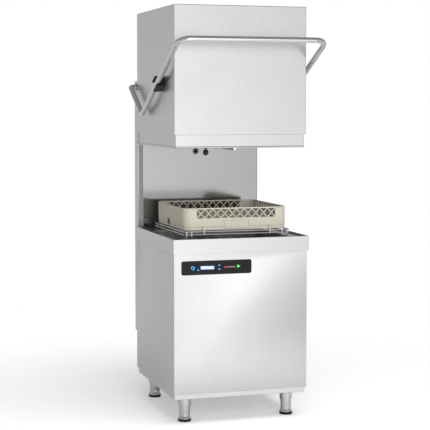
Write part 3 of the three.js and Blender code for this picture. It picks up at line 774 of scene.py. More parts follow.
# %% Tree: screws on points
def screws_tree():
    tree, given = new_tree("screws", {
        "Across": "Float", "Head": "Float", "Flange": "Float", "Direction": "Vector"})
    flange = add_node(tree, "GeometryNodeMeshCylinder", {
        "Vertices": 24, "Radius": given["Across"], "Depth": given["Flange"]})
    radius = add_node(tree, "ShaderNodeMath", {0: given["Across"], 1: 0.72}, operation="MULTIPLY")
    head = add_node(tree, "GeometryNodeMeshCylinder", {
        "Vertices": 6, "Radius": radius.outputs[0], "Depth": given["Head"]})
    lift = add_node(tree, "ShaderNodeMath", {0: given["Head"], 1: 0.5}, operation="MULTIPLY")
    up = add_node(tree, "ShaderNodeCombineXYZ", {2: lift.outputs[0]})
    raised = add_node(tree, "GeometryNodeTransform", {
        0: head.outputs[0], "Translation": up.outputs[0]})
    both = add_node(tree, "GeometryNodeJoinGeometry", {0: flange.outputs[0]})
    tree.links.new(raised.outputs[0], both.inputs[0])
    turn = add_node(tree, "FunctionNodeAlignRotationToVector", {"Vector": given["Direction"]},
                    axis="Z")
    spread_out = add_node(tree, "GeometryNodeInstanceOnPoints", {
        "Points": given["Geometry"], "Instance": both.outputs[0], "Rotation": turn.outputs[0]})
    return end_tree(tree, spread_out.outputs[0], given)


SCREWS = screws_tree()


def screws(name, points, direction, body, across=5 * MM, head=2.2 * MM):
    made = grown(name, SCREWS, BRUSHED, points, Across=across, Head=head, Flange=1.2 * MM,
                 Direction=direction)
    return finished(made, BRUSHED, body, edge=0.2 * MM, steps=1)


# %% [markdown]
# ### Pegs and nozzles
# A peg is a cone with its tip cut off. The same tree makes the pegs of the rack and the small
# conical nozzles of the spray arms.


# %% Tree: cones on points
def cones_tree():
    tree, given = new_tree("cones", {
        "Foot": "Float", "Tip": "Float", "Height": "Float", "Direction": "Vector"})
    cone = add_node(tree, "GeometryNodeMeshCone", {
        "Vertices": 12, "Radius Top": given["Tip"], "Radius Bottom": given["Foot"],
        "Depth": given["Height"]})
    turn = add_node(tree, "FunctionNodeAlignRotationToVector", {"Vector": given["Direction"]},
                    axis="Z")
    stood = add_node(tree, "GeometryNodeInstanceOnPoints", {
        "Points": given["Geometry"], "Instance": cone.outputs[0], "Rotation": turn.outputs[0]})
    return end_tree(tree, stood.outputs[0], given)


CONES = cones_tree()


# %% Tree: a coil spring
def spring_tree():
    tree, given = new_tree("coil_spring", {
        "Turns": "Float", "Coil": "Float", "Wire": "Float", "Length": "Float", "Foot": "Vector"})
    coil = add_node(tree, "GeometryNodeCurveSpiral", {
        "Resolution": 28, "Rotations": given["Turns"], "Start Radius": given["Coil"],
        "End Radius": given["Coil"], "Height": given["Length"]})
    section = add_node(tree, "GeometryNodeCurvePrimitiveCircle", {
        "Resolution": 10, "Radius": given["Wire"]})
    wire = add_node(tree, "GeometryNodeCurveToMesh", {
        "Curve": coil.outputs[0], "Profile Curve": section.outputs[0], "Fill Caps": True})
    placed = add_node(tree, "GeometryNodeTransform", {
        0: wire.outputs[0], "Translation": given["Foot"]})
    return end_tree(tree, placed.outputs[0], given)


SPRING = spring_tree()
print("trees:", [tree.name for tree in bpy.data.node_groups])

# %% [markdown]
# ## The base, the legs and the casing
# The base is a shallow folded tray. Each leg is a pressed sleeve with a levelling foot inside it:
# a tube that flares at the bottom and stands in a rubber cap. Turned shapes suit all of them.


# %% Base tray
base = folded("base_tray_folded", box_sides(*spans("base_tray"), "bottom front back left right"), 3 * MM)
finished(base, MILL, "chassis", ("base_tray",))


# %% Legs
def leg(end, side):
    sleeve, foot = f"leg_sleeve_{end}_{side}", f"foot_{end}_{side}"
    centre, top, high = level_middle(sleeve), heights(sleeve)[1], heights(foot)[1]
    plate, bore, outer, lip = 36, 25.2, 29, 72
    shape = [(0, top - 3, 0), (bore, top - 3, 0), (bore, lip, 0.6), (outer, lip, 1.2),
             (outer, top - 3.5, 2), (plate, top - 3.2, 0.5), (plate, top, 0.5), (0, top, 0)]
    finished(turned(sleeve + "_pressed", mm(shape), centre), BRUSHED, "chassis", (sleeve,))
    tube, flare, cap = 24.7, 29.5, 13
    steel = [(0, cap, 0), (flare, cap, 0.5), (flare - 0.5, cap + 3, 3), (25.6, 25, 6), (tube, 34, 8),
             (tube, high, 0.5), (0, high, 0)]
    finished(turned(foot + "_tube", mm(steel), centre), BRUSHED, foot, (foot,))
    rubber = [(0, 0, 0), (28, 0, 1), (30.4, 3, 2), (30.2, cap - 0.2, 1), (0, cap - 0.2, 0)]
    finished(turned(foot + "_rubber_cap", mm(rubber), centre), RUBBER, foot)


for end in ("front", "rear"):
    for side in ("left", "right"):
        leg(end, side)

# %% [markdown]
# The side, front and rear panels are flat sheet with small folds. Their shape is right already, so
# a merged copy with its edges broken by half a millimetre stands for each: the broken edge is what
# catches the light along a real panel. The rear panel gets its screws and its cooling slats.


# %% Panels
def gap_cutters(level):
    """Bars round the cabinet: what they take away is the shadow gap under the tank's rim."""
    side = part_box("right_side_panel")[1].x
    front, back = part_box("front_panel")[0].y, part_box("rear_panel")[1].y
    height, deep, out = (level - 3 * MM, level + 1 * MM), 1.2 * MM, 9 * MM
    return [solid_box("gap", about(0, side + out), (front - out, front + deep), height),
            solid_box("gap", (-side - out, -side + deep), (front - out, back + out), height),
            solid_box("gap", (side - deep, side + out), (front - out, back + out), height)]


for node in ("left_side_panel", "right_side_panel", "front_panel", "rear_panel"):
    panel = refined(node, BRUSHED, "chassis", 0.6 * MM, 3)
    cut(panel, *gap_cutters(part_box("front_panel")[1].z))
back_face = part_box("rear_panel")[1].y
rows = [(x * MM, back_face, z * MM) for x in (-306, -100, 100, 306) for z in (152, 345)]
screws("rear_panel_screws", rows, (0, 1, 0), "chassis")
slats = bars("rear_panel_slats", BRUSHED, 9, (-40 * MM, back_face + 1 * MM, 170 * MM), (0, 0, 11 * MM),
             (150 * MM, 6 * MM, 1.2 * MM), (math.radians(-40), 0, 0))
finished(slats, BRUSHED, "chassis", edge=0.2 * MM, steps=1)
print("panels done")

# %% [markdown]
# ## The wash tank
# The tank is pressed and welded: a skirt hangs over the cabinet, its top edge is folded back on
# itself, and inside it a ledge leads to a deep basin with round corners. A stack of rounded
# rectangles, from the lower lip over the rim and down to the basin floor, describes the whole
# sheet, which then gets its thickness.


# %% Tank
BASIN_FLOOR = 562  # millimetres above the floor
SUMP_AT = level_middle("filter_basket")
CENTRE_Y = middle("lower_arm_post").y


def tank():
    x, y, (_, rim) = spans("wash_tank")
    lip, ledge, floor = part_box("front_panel")[1].z + 0.3 * MM, rim - 10 * MM, BASIN_FLOOR * MM
    half, front, back = 272 * MM, y[0] + 70 * MM, y[1] - 110 * MM

    def inset(by, level):
        return ring((x[0] + by, x[1] - by), (y[0] + by, y[1] - by), level, max(2 * MM - by, 0.5 * MM))

    def basin(out, level, corner):
        return ring(about(0, half + out), (front - out, back + out), level, corner)

    skirt = [(22, lip, 0), (1.2, lip, 0), (0.3, lip, 0.4), (0, lip, 1.5), (0, rim, -1.8),
             (0.6, rim, -0.5), (1.8, rim, 0), (3, rim, -0.5), (3.6, rim, -1.8), (3.6, ledge, 3),
             (4.6, ledge, 0.9), (7, ledge, 0)]
    bowl = [(9, ledge, 0, 36), (3.5, ledge, -0.8, 32), (0.8, ledge, -3.5, 30), (0, ledge, -9, 30),
            (0, floor, 22, 30), (-3, floor, 9, 28), (-10, floor, 2, 24), (-22, floor, 0, 20)]
    rings = [inset(by * MM, level + up * MM) for by, level, up in skirt]
    rings += [basin(out * MM, level + up * MM, corner * MM) for out, level, up, corner in bowl]
    shell = lofted("wash_tank_pressed", rings, top=True)
    wall = shell.modifiers.new("thickness", "SOLIDIFY")
    wall.thickness, wall.offset, wall.use_even_offset = SHEET, -1, False
    plain(shell)
    duct_y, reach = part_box("riser_duct")[1].y - 14 * MM, 20 * MM
    holes = [drill(75 * MM, -reach, reach, (*SUMP_AT.xy, floor)),
             drill(18.5 * MM, -reach, reach, (0, CENTRE_Y, floor)),
             drill(15.5 * MM, -reach, reach, (0, duct_y, ledge))]
    cup = [(0, 518.5, 0), (76, 518.5, 8), (76, BASIN_FLOOR, 0), (75, BASIN_FLOOR, 0), (75, 520, 6),
           (0, 520, 0)]
    return joined("wash_tank_pressed", cut(shell, *holes), turned("sump", mm(cup), SUMP_AT))


finished(tank(), BRUSHED, "chassis", ("wash_tank",))

# %% [markdown]
# The strainer is punched sheet. Its holes come from a rule: the faces that surround the points of
# a triangle grid are hexagons, and a smaller hexagon taken out of each leaves a punched sheet. Two
# round openings are left for the post of the lower arms and for the filter basket.


# %% Tree: punched sheet
def punched_tree():
    tree, given = new_tree("punched_sheet", {
        "Width": "Float", "Depth": "Float", "Pitch": "Float", "Hole": "Float", "Place": "Vector"})
    across = add_node(tree, "ShaderNodeMath", {0: given["Width"], 1: given["Pitch"]}, operation="DIVIDE")
    along = add_node(tree, "ShaderNodeMath", {0: given["Depth"], 1: given["Pitch"]}, operation="DIVIDE")
    grid = add_node(tree, "GeometryNodeMeshGrid", {
        "Size X": given["Width"], "Size Y": given["Depth"],
        "Vertices X": across.outputs[0], "Vertices Y": along.outputs[0]})
    split = add_node(tree, "GeometryNodeTriangulate", {0: grid.outputs[0]})
    cells = add_node(tree, "GeometryNodeDualMesh", {0: split.outputs[0]})
    inset = add_node(tree, "GeometryNodeExtrudeMesh", {
        "Mesh": cells.outputs[0], "Offset Scale": 0.0, "Individual": True}, mode="FACES")
    shrunk = add_node(tree, "GeometryNodeScaleElements", {
        "Geometry": inset.outputs[0], "Selection": inset.outputs["Top"], "Scale": given["Hole"]})
    open_cells = add_node(tree, "GeometryNodeDeleteGeometry", {
        0: shrunk.outputs[0], 1: inset.outputs["Top"]}, domain="FACE")
    placed = add_node(tree, "GeometryNodeTransform", {
        0: open_cells.outputs[0], "Translation": given["Place"]})
    welded = add_node(tree, "GeometryNodeMergeByDistance", {0: placed.outputs[0], "Distance": 0.02 * MM})
    return end_tree(tree, welded.outputs[0], given)


# %% Strainer, basket and overflow
def strainer():
    (x0, x1), (y0, y1), (z0, z1) = spans("tank_strainer")
    sheet = grown("tank_strainer_punched", punched_tree(), BRUSHED, Width=x1 - x0, Depth=y1 - y0,
                  Pitch=8 * MM, Hole=0.55, Place=(0, (y0 + y1) / 2, z1))
    openings = [(middle("lower_arm_post").xy, 26 * MM), (SUMP_AT.xy, 60 * MM)]

    def clear(mesh):
        inside = [f for f in mesh.faces
                  if any((f.calc_center_median().xy - at).length < radius for at, radius in openings)]
        bmesh.ops.delete(mesh, geom=inside, context="FACES")

    edited(sheet, clear)
    thickness = sheet.modifiers.new("thickness", "SOLIDIFY")
    thickness.thickness, thickness.offset = z1 - z0, -1
    return plain(sheet)


finished(strainer(), BRUSHED, "chassis", ("tank_strainer",))
low, high = heights("filter_basket")
basket = [(24, low, 0), (52, low, 3), (56, high - 2, 1), (66, high - 2, 0.5), (66, high, 0.8),
          (54, high, 1.5), (50.5, low + 2, 3), (24, low + 2, 0)]
finished(turned("filter_basket_pressed", mm(basket), SUMP_AT), BRUSHED, "chassis", ("filter_basket",))
low, high = heights("overflow_pipe")
overflow = [(0, low, 0), (20, low, 1), (20, high - 23, 2), (14, high - 15, 2), (14, high, 2), (0, high, 0)]
finished(turned("overflow_pipe_moulded", mm(overflow), SUMP_AT), NYLON, "chassis", ("overflow_pipe",))
print("strainer, basket and overflow done")

# %% [markdown]
# ## The water circuit and the spray arms
# Under the tank hangs the pump with its motor. A duct climbs behind the splash back and comes
# forward above it to the upper arms. The wash arms are pressed steel beams with conical nozzles;
# the rinse arms are plain tubes, set across them.


# %% Duct, post and heater
def duct():
    low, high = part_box("riser_duct")
    radius = 14 * MM
    depth, bottom, top = high.y - radius, low.z + radius, high.z - radius
    route = rounded_path([((0, CENTRE_Y + 18.5 * MM, bottom), 0), ((0, depth, bottom), 40 * MM),
                          ((0, depth, top), 22 * MM), ((0, CENTRE_Y, top), 0)], 10)
    level, end = top / MM, high.z / MM
    spigot = [(0, level - 54, 0), (8, level - 54, 1), (8, level - 16, 1), (16, level - 16, 1.5), (16, end, 3),
              (0, end, 0)]
    return joined("riser_duct_bent", pipe("bend", route, radius, 32),
                  turned("spigot", mm(spigot), (0, CENTRE_Y, 0), sides=40))


def post():
    (low, high), plate, shoulder = heights("lower_arm_post"), BASIN_FLOOR, 768
    shape = [(16, low, 0), (18, low, 0.5), (18, plate, 0), (34, plate, 0.5), (34, plate + 7, 1),
             (18, plate + 7, 1), (18, shoulder, 1), (9, shoulder, 0.5), (9, high, 1), (0, high, 0),
             (0, shoulder - 13, 0), (16, shoulder - 13, 0)]
    return turned("lower_arm_post_turned", mm(shape), (0, CENTRE_Y, 0))


def heater():
    (x0, x1), (y0, y1), (z0, z1) = spans("tank_heater")
    level, bend, start, end = z0 + 20 * MM, 40 * MM, y0 + 4 * MM, y1 - 5 * MM
    near, far = x1 - 25 * MM, x0 + 25 * MM
    corners = [((near, start, level), 0), ((near, end, level), bend), ((far, end, level), bend),
               ((far, start, level), 0)]
    element = pipe("element", rounded_path(corners, 10), 5 * MM)
    return joined("tank_heater_bent", element, solid_box("flange", (x0, x1), (y0, y0 + 5.7 * MM), (z0, z1)))


finished(duct(), POLISHED, "chassis", ("riser_duct",))
finished(post(), BRUSHED, "chassis", ("lower_arm_post",))
finished(heater(), POLISHED, "chassis", ("tank_heater",))


# %% Spray arms
def hub(bore, outer, low, high, soft):
    """The ring in the middle of an arm, and the cutter that opens the arm for its spindle."""
    at, fine = (0, CENTRE_Y, 0), 0.5 * MM
    shape = [(bore, low, fine), (outer, low, soft), (outer, high, soft), (bore, high, fine)]
    return turned("hub", shape, at), drill(bore, low - 1, high + 1, at)


def jets(name, node, material, spots, side, sizes):
    foot, tip, height = mm([sizes])[0]
    finished(grown(name, CONES, material, spots, Foot=foot, Tip=tip, Height=height, Direction=(0, 0, side)),
             material, node)


def wash_arm(node, side):
    (x0, x1), _, (z0, z1) = spans(node)
    low, high = z0 + 3 * MM, z1 - 3 * MM

    def level(z, by):
        return ring((x0 + by, x1 - by), about(CENTRE_Y, 19 * MM - by), z, 18 * MM - by, 10)

    steps = [(low, 0, 5), (low, 1.2, 1.6), (low, 4.5, 0), (high, -4.5, 0), (high, -1.2, 1.6), (high, 0, 5)]
    beam = lofted("beam", [level(z + up * MM, by * MM) for z, up, by in steps], bottom=True, top=True)
    boss, hole = hub((10 if side > 0 else 9) * MM, 30 * MM, z0, z1, 2 * MM)
    finished(joined(node + "_pressed", cut(beam, hole), boss), BRUSHED, node, (node,))
    out = (high if side > 0 else low) - side * 0.1 * MM
    spots = [(x * MM, CENTRE_Y, out) for x in (-192, -142, -92, 92, 142, 192)]
    jets(node + "_nozzles", node, POLISHED, spots, side, (6, 3.2, 2.6))


def rinse_arm(node, side):
    _, (y0, y1), (z0, z1) = spans(node)
    level = (z0 + z1) / 2
    tube = rod("tube", (0, y0, level), (0, y1, level), 7 * MM, 28)
    boss, hole = hub((10 if side > 0 else 9) * MM, 20 * MM, z0, z1, 1.5 * MM)
    finished(joined(node + "_tube", cut(tube, hole), boss), POLISHED, node, (node,), edge=0.6 * MM)
    spots = [(0, CENTRE_Y + y * MM, level + side * 7 * MM) for y in range(-200, 201, 50) if y]
    jets(node + "_jets", node, BRUSHED, spots, side, (3.5, 2, 1.6))


for make, kind in ((wash_arm, "wash"), (rinse_arm, "rinse")):
    for place, side in (("lower", 1), ("upper", -1)):
        make(f"{place}_{kind}_arm", side)


# %% Retaining knob
def knob():
    low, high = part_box("retaining_knob")
    at = (*level_middle("retaining_knob").xy, low.z)
    radius, steps, length = 15 * MM, 20, (high.z - low.z) / MM
    turns = [math.pi * k / steps for k in range(1, steps)]
    ball = [(radius * math.sin(t), radius * (1 - math.cos(t)), 0) for t in turns]
    grip = turned("grip", [(0, 0, 0), *ball, (0, 2 * radius, 0)], at, sides=96, lobes=8, lobe_depth=0.08)
    stem = turned("stem", mm([(0, 29, 0), (6, 29, 0), (6, length, 0.5), (0, length, 0)]), at)
    return joined("retaining_knob_moulded", grip, stem)


finished(knob(), KNOB_NYLON, "chassis", ("retaining_knob",))

# %% Motor
PUMP_AXIS = (0, CENTRE_Y, 330 * MM)
FOUR_SIDES = "front back left right"


def motor():
    x, _, (z0, z1) = spans("pump_motor")
    near, far = x[0] / MM, x[1] / MM
    shape = [(0, near, 0), (54, near, 4), (61, near + 12, 3), (61, far - 36, 1), (60, far, 2),
             (8.5, far, 0.5), (8.5, far - 37, 0), (0, far - 37, 0)]
    body = turned("body", mm(shape), PUMP_AXIS, "x", 96)
    box = solid_box("box", (-170 * MM, -90 * MM), about(CENTRE_Y, 35 * MM), (385 * MM, z1))
    stand = box_sides((-200 * MM, -60 * MM), about(CENTRE_Y, 50 * MM), (z0, 278 * MM), FOUR_SIDES)
    return joined("pump_motor_body", body, box, folded("stand", stand, 2 * MM, 3 * MM))


def fins_tree():
    tree, given = new_tree("ring_of_fins", {
        "Count": "Int", "Radius": "Float", "Size": "Vector", "Centre": "Vector"})
    circle = add_node(tree, "GeometryNodeMeshCircle", {
        "Vertices": given["Count"], "Radius": given["Radius"]})
    outward_way = add_node(tree, "GeometryNodeInputPosition")
    turn = add_node(tree, "FunctionNodeAlignRotationToVector", {"Vector": outward_way.outputs[0]},
                    axis="X")
    fin = add_node(tree, "GeometryNodeMeshCube", {"Size": given["Size"]})
    stood = add_node(tree, "GeometryNodeInstanceOnPoints", {
        "Points": circle.outputs[0], "Instance": fin.outputs[0], "Rotation": turn.outputs[0]})
    laid = add_node(tree, "GeometryNodeTransform", {
        0: stood.outputs[0], "Rotation": (0, math.pi / 2, 0), "Translation": given["Centre"]})
    return end_tree(tree, laid.outputs[0], given)


finished(motor(), ENAMEL, "chassis", ("pump_motor",), edge=0.8 * MM)
fins = grown("pump_motor_fins", fins_tree(), ENAMEL, Count=40, Radius=62 * MM,
             Size=(3.6 * MM, 1.6 * MM, 100 * MM), Centre=(middle("pump_motor").x - 12 * MM, *PUMP_AXIS[1:]))
finished(fins, ENAMEL, "chassis", edge=0.3 * MM, steps=1)
print("motor length", round(spans("pump_motor")[0][1] - spans("pump_motor")[0][0], 3))


# %% Pump and hose
def pump_housing():
    shell = [(20, 28, 0.5), (20, 50, 0.5), (30, 50, 1), (30, 30, 3), (66, 28, 3), (70, 20, 4),
             (70, -20, 4), (66, -28, 2), (14, -28, 0.5), (14, -22, 0.5), (60, -22, 2), (62, -18, 2),
             (62, 18, 2), (60, 22, 2), (20, 24, 0.5)]
    outlet = [(13, 60, 0), (18, 60, 0), (18, 100, 0.8), (13, 100, 0.8)]
    return joined("wash_pump_housing_moulded", turned("volute", mm(shell), PUMP_AXIS, "x", 96),
                  turned("outlet", mm(outlet), PUMP_AXIS))


def suction():
    low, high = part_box("suction_hose")
    radius, level = 18 * MM, PUMP_AXIS[2]
    x, y = high.x - radius, low.y + radius
    route = rounded_path([((x, y, high.z), 0), ((x, y, level), 60 * MM), ((x, CENTRE_Y, level), 30 * MM),
                          ((low.x, CENTRE_Y, level), 0)], 12)
    return pipe("suction_hose_moulded", route, radius, 40)


finished(pump_housing(), HOUSING_PLASTIC, "chassis", ("wash_pump_housing",))
refined("pump_impeller", HOUSING_PLASTIC, "pump_impeller", 0.6 * MM)
finished(suction(), RUBBER, "chassis", ("suction_hose",), edge=0.8 * MM)
print("pump and hose done")

# %% [markdown]
# ## Services
# The rinse boiler is a pressed, galvanised tank. The dosing pumps, the valve and the electrical box
# are moulded cases. On the back are the inlet fitting, the cable gland and the drain, all turned.


# %% Boiler and cases
def boiler():
    low, high = heights("rinse_boiler")
    at, base, reach = level_middle("rinse_boiler"), low + 20, 60 * MM
    wall = [(0, base, 0), (60, base, 8), (84, base + 14, 12), (84, 440, 12), (60, 456, 6), (26, 456, 3),
            (26, high, 1), (20, high, 1), (20, 454, 2), (59, 454, 5), (82, 439, 10), (82, base + 15, 10),
            (59.5, base + 2, 6), (0, base + 2, 0)]
    stand = box_sides(about(at.x, reach), about(at.y, reach), (low * MM, (base + 2) * MM), FOUR_SIDES)
    return joined("rinse_boiler_pressed", turned("tank", mm(wall), at, sides=96),
                  folded("stand", stand, 2 * MM, 3 * MM))


finished(boiler(), ZINC, "chassis", ("rinse_boiler",))
refined("electrical_box", HOUSING_PLASTIC, "chassis", 4 * MM, 4)
for node in ("detergent_pump", "rinse_aid_pump", "inlet_valve"):
    refined(node, HOUSING_PLASTIC, "chassis", 1.5 * MM, 3)
refined("control_board", BOARD, "chassis", 0.3 * MM, 1)
box_x, box_y, box_z = spans("electrical_box")
from_edge = 12 * MM
corners = [(x, box_y[0], z) for x in (box_x[0] + from_edge, box_x[1] - from_edge)
           for z in (box_z[0] + from_edge, box_z[1] - from_edge)]
screws("electrical_box_screws", corners, (0, -1, 0), "chassis", 4 * MM, 2 * MM)
print("boiler and cases done")


# %% Fittings on the back
def fitting(node, profile, material):
    """A fitting on the back panel. The profile's heights are counted from its rear end."""
    at, back = middle(node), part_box(node)[1].y / MM
    shape = [(radius, back - depth, soft) for radius, depth, soft in profile]
    piece = turned(node + "_turned", mm(shape), (at.x, 0, at.z), "y", 48)
    finished(piece, material, "chassis", (node,))


fitting("water_inlet", [
    (0, 45.5, 0), (12, 45.5, 0.5), (12, 24, 1), (17, 24, 1), (17, 17, 0.5), (14.5, 16, 0.3),
    (14.5, 1, 0.5), (13.5, 0, 0.4), (9, 0, 0.5), (9, 12, 0), (0, 12, 0)], BRUSHED)
fitting("cable_gland", [
    (0, 34, 0), (9, 34, 0.5), (9, 23, 1), (15, 23, 1), (15, 12, 1.5), (10, 0, 2), (5, 0, 1),
    (5, 10, 0), (0, 10, 0)], NYLON)
barbs = [(radius, start - drop, soft) for start in (30, 20, 10)
         for radius, drop, soft in ((20, 0, 0.6), (18, 1, 0.4))]
fitting("drain_outlet", [
    (0, 80, 0), (18, 80, 0.5), (18, 38, 1), (20, 38, 0.6), *barbs, (20, 1, 0.6), (15, 0, 1),
    (15, 30, 0), (0, 30, 0)], HOUSING_PLASTIC)
print("fittings done")

# %% [markdown]
# ## The control panel
# One pane of glass with round corners carries everything. The keys are discs of the same glass,
# flush with it, and each has a lit symbol of its own: a ring for power, arrows, a start triangle.
# Between them sit a display and two small bars. The symbols are thin solids on the glass.


# %% Glass and keys
KEYS = ("power_key", "up_key", "down_key", "start_key")
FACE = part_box("control_glass")[0].y


def key_radius(node):
    (x0, x1), _, _ = spans(node)
    return (x1 - x0) / 2


def pane():
    (x0, x1), (y0, y1), (z0, z1) = spans("control_glass")

    def upright(by, depth):
        flat = ring((x0 + by, x1 - by), (z0 + by, z1 - by), 0, 9 * MM - by, 12)
        return [Vector((p.x, depth, p.y)) for p in flat]

    soft, fine, reach = 0.5 * MM, 0.15 * MM, 9 * MM
    rings = [upright(0, y1), upright(0, y0 + soft), upright(fine, y0 + fine), upright(soft, y0)]
    body = edited(lofted("control_glass_pane", rings, bottom=True, top=True), outward)
    holes = [drill(key_radius(node) + 0.4 * MM, y0 - reach, y1 + reach, (middle(node).x, 0, middle(node).z),
                   "y", 48) for node in KEYS]
    return cut(body, *holes)


finished(pane(), GLASS, "chassis", ("control_glass",))
for node in KEYS:
    (front, back), radius, at = spans(node)[1], key_radius(node), middle(node)
    shape = [(0, front, 0), (radius, front, 0.5 * MM), (radius, back, 0.3 * MM), (0, back, 0)]
    finished(turned(node + "_cap", shape, (at.x, 0, at.z), "y", 48), GLASS, node, (node,))
print("control panel face at", round(FACE, 4))


# %% Symbols
def symbol(name, outline, x, z, material, body):
    """An outline of (x, z) points in millimetres, as a solid a tenth of a millimetre thick."""
    count = len(outline)
    points = [(x + a * MM, FACE - depth, z + b * MM) for depth in (0, 0.1 * MM) for a, b in outline]
    faces = [tuple(range(count)), tuple(range(count, 2 * count))]
    faces += [(k, (k + 1) % count, count + (k + 1) % count, count + k) for k in range(count)]
    finished(edited(mesh_piece(name, points, faces), outward), material, body)


def arc_band(inner, outer, start, end, steps=40):
    turns = [math.radians(start + (end - start) * k / steps) for k in range(steps + 1)]
    return ([(outer * math.cos(t), outer * math.sin(t)) for t in turns]
            + [(inner * math.cos(t), inner * math.sin(t)) for t in reversed(turns)])


def bar(half_width, half_height):
    return [(-half_width, -half_height), (half_width, -half_height), (half_width, half_height),
            (-half_width, half_height)]


power_x, _, panel_z = middle("power_key")
symbol("power_symbol_ring", arc_band(5.2, 8.6, 115, 425), power_x, panel_z, BLUE, "power_key")
symbol("power_symbol_stroke", [(-1.2, 2), (1.2, 2), (1.2, 9), (-1.2, 9)], power_x, panel_z, BLUE, "power_key")
for node, way in (("up_key", 1), ("down_key", -1)):
    x, _, z = middle(node)
    symbol(node + "_arrow", [(-5.4, -3.4 * way), (5.4, -3.4 * way), (0, 5 * way)], x, z, BLUE, node)
start_x, _, start_z = middle("start_key")
symbol("start_symbol", [(-6.5, -8), (8.5, 0), (-6.5, 8)], start_x, start_z, GREEN, "start_key")
symbol("ready_dot", arc_band(0, 3.6, 0, 360), power_x + 25 * MM, panel_z - 9.5 * MM, BLUE, "chassis")
for name, half_width, half_height, x, material in (("display", 31.5, 7.2, -163.5, DISPLAY),
                                                   ("red_bar", 10.5, 3.4, -73.5, RED),
                                                   ("pale_bar", 16, 2.2, -46, PALE)):
    symbol(name, bar(half_width, half_height), x * MM, panel_z, material, "chassis")
print("symbols done")

# %% [markdown]
# ## Behind the hood
# Two folded columns stand on the tank and carry the hood. A slot in the front of each lets the
# hood's bracket through to a slider inside, and a spring above the slider balances the hood. A
# cover closes the space between them, and a satin splash back lines the wash chamber.


# %% Columns and springs
def column(side):
    node = side + "_column"
    x, y, z = spans(node)
    box = folded(node + "_folded", box_sides(x, y, z, "front back left right top"), 4 * MM)
    slot = solid_box("slot", about(middle("lift_spring_" + side).x, 11 * MM), (y[0] - 5 * MM, y[0] + 8 * MM),
                     (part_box("wash_tank")[1].z + 10 * MM, z[1] - 95 * MM))
    finished(cut(box, slot), BRUSHED, "chassis", (node,))


def spring(side):
    """The coil hangs from the column, and its foot follows the hood: it belongs to both bodies, so
    it rides on neither."""
    node = "lift_spring_" + side
    (x0, x1), _, (foot, top) = spans(node)
    centre, wire = middle(node), 1.6 * MM
    helix = grown(node + "_wire", SPRING, ZINC, Turns=24.0, Coil=(x1 - x0) / 2 - wire, Wire=wire,
                  Length=top - foot - 2 * wire, Foot=(centre.x, centre.y, foot + wire))
    finished(helix, ZINC, "chassis", (node,))
    helix.parent = None
    del helix["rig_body"]
    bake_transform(helix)


for side in ("right", "left"):
    column(side)
    spring(side)
print("spring length", round(spans("lift_spring_left")[2][1] - spans("lift_spring_left")[2][0], 3))

# %% Column cover and splash back
cover_x, cover_y, cover_z = spans("column_cover")
cover_back, cover_top, lip_low = cover_y[1] - 2.4 * MM, cover_z[1], cover_z[1] - 60 * MM
lip_quad = [(x, cover_y[0], z) for x, z in ((cover_x[0], lip_low), (cover_x[1], lip_low),
                                            (cover_x[1], cover_top), (cover_x[0], cover_top))]
cover_sides = box_sides(cover_x, (cover_y[0], cover_back), cover_z, "back top bottom")
cover = folded("column_cover_folded", cover_sides + [lip_quad], 3 * MM)
finished(cover, BRUSHED, "chassis", ("column_cover",))
cover_rows = [(sign * 240 * MM, cover_back, z * MM) for sign in (-1, 1) for z in range(390, 1551, 290)]
screws("column_cover_screws", cover_rows, (0, 1, 0), "chassis")
splash = folded("splash_back_folded", box_sides(*spans("splash_back"), "front left right top"), 5 * MM)
duct_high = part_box("riser_duct")[1]
bore = drill(15.5 * MM, -30 * MM, 30 * MM, (0, duct_high.y - 14 * MM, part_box("splash_back")[1].z))
# The splash back's dark satin colour is painted shade.
finished(cut(splash, bore), SATIN_WITH_PAINTED_SHADE, "chassis", ("splash_back",))
print("cover and splash back done")

# %% [markdown]
# ## The hood
# The hood is a folded box without a bottom. Its lower edge turns in as a narrow shelf, and a band
# a little further in hangs below it, with a rolled hem that is safe to the hand.


# %% Hood shell
def shelf(x, y, z, width):
    """A narrow flange turned in along the bottom of three sides, mitred at the corners."""
    (x0, x1), (y0, y1) = x, y
    return [[(x0, y0, z), (x0 + width, y0 + width, z), (x1 - width, y0 + width, z), (x1, y0, z)],
            [(x0, y0, z), (x0, y1, z), (x0 + width, y1, z), (x0 + width, y0 + width, z)],
            [(x1, y0, z), (x1 - width, y0 + width, z), (x1 - width, y1, z), (x1, y1, z)]]


def hood_shell():
    x, (y0, _), z = spans("hood_shell")
    y1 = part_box("hood_band")[1].y
    rear_edge = 9 * MM
    turned_in = [[(side, y1, z[0]), (side - sign * rear_edge, y1, z[0]), (side - sign * rear_edge, y1, z[1]),
                  (side, y1, z[1])][::sign] for side, sign in ((x[1], 1), (x[0], -1))]
    quads = box_sides(x, (y0, y1), z, "front left right top") + shelf(x, (y0, y1), z[0], 13 * MM) + turned_in
    shell = folded("shell", quads, 3 * MM)
    travel = -frame_joint("hood_lift")["range_m"][0]
    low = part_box("splash_back")[1].z + travel + 13 * MM
    back = folded("back", box_sides((x[0] + 2 * MM, x[1] - 2 * MM), (y0, y1 - 8.5 * MM), (low, z[1] - 2 * MM),
                                    "back"), 1 * MM)
    notch = solid_box("notch", about(0, 30 * MM), (y1 - 30 * MM, y1),
                      (low - 10 * MM, duct_high.z + travel + 16 * MM))
    return joined("hood_shell_folded", shell, cut(back, notch))


finished(hood_shell(), BRUSHED, "hood", ("hood_shell",))


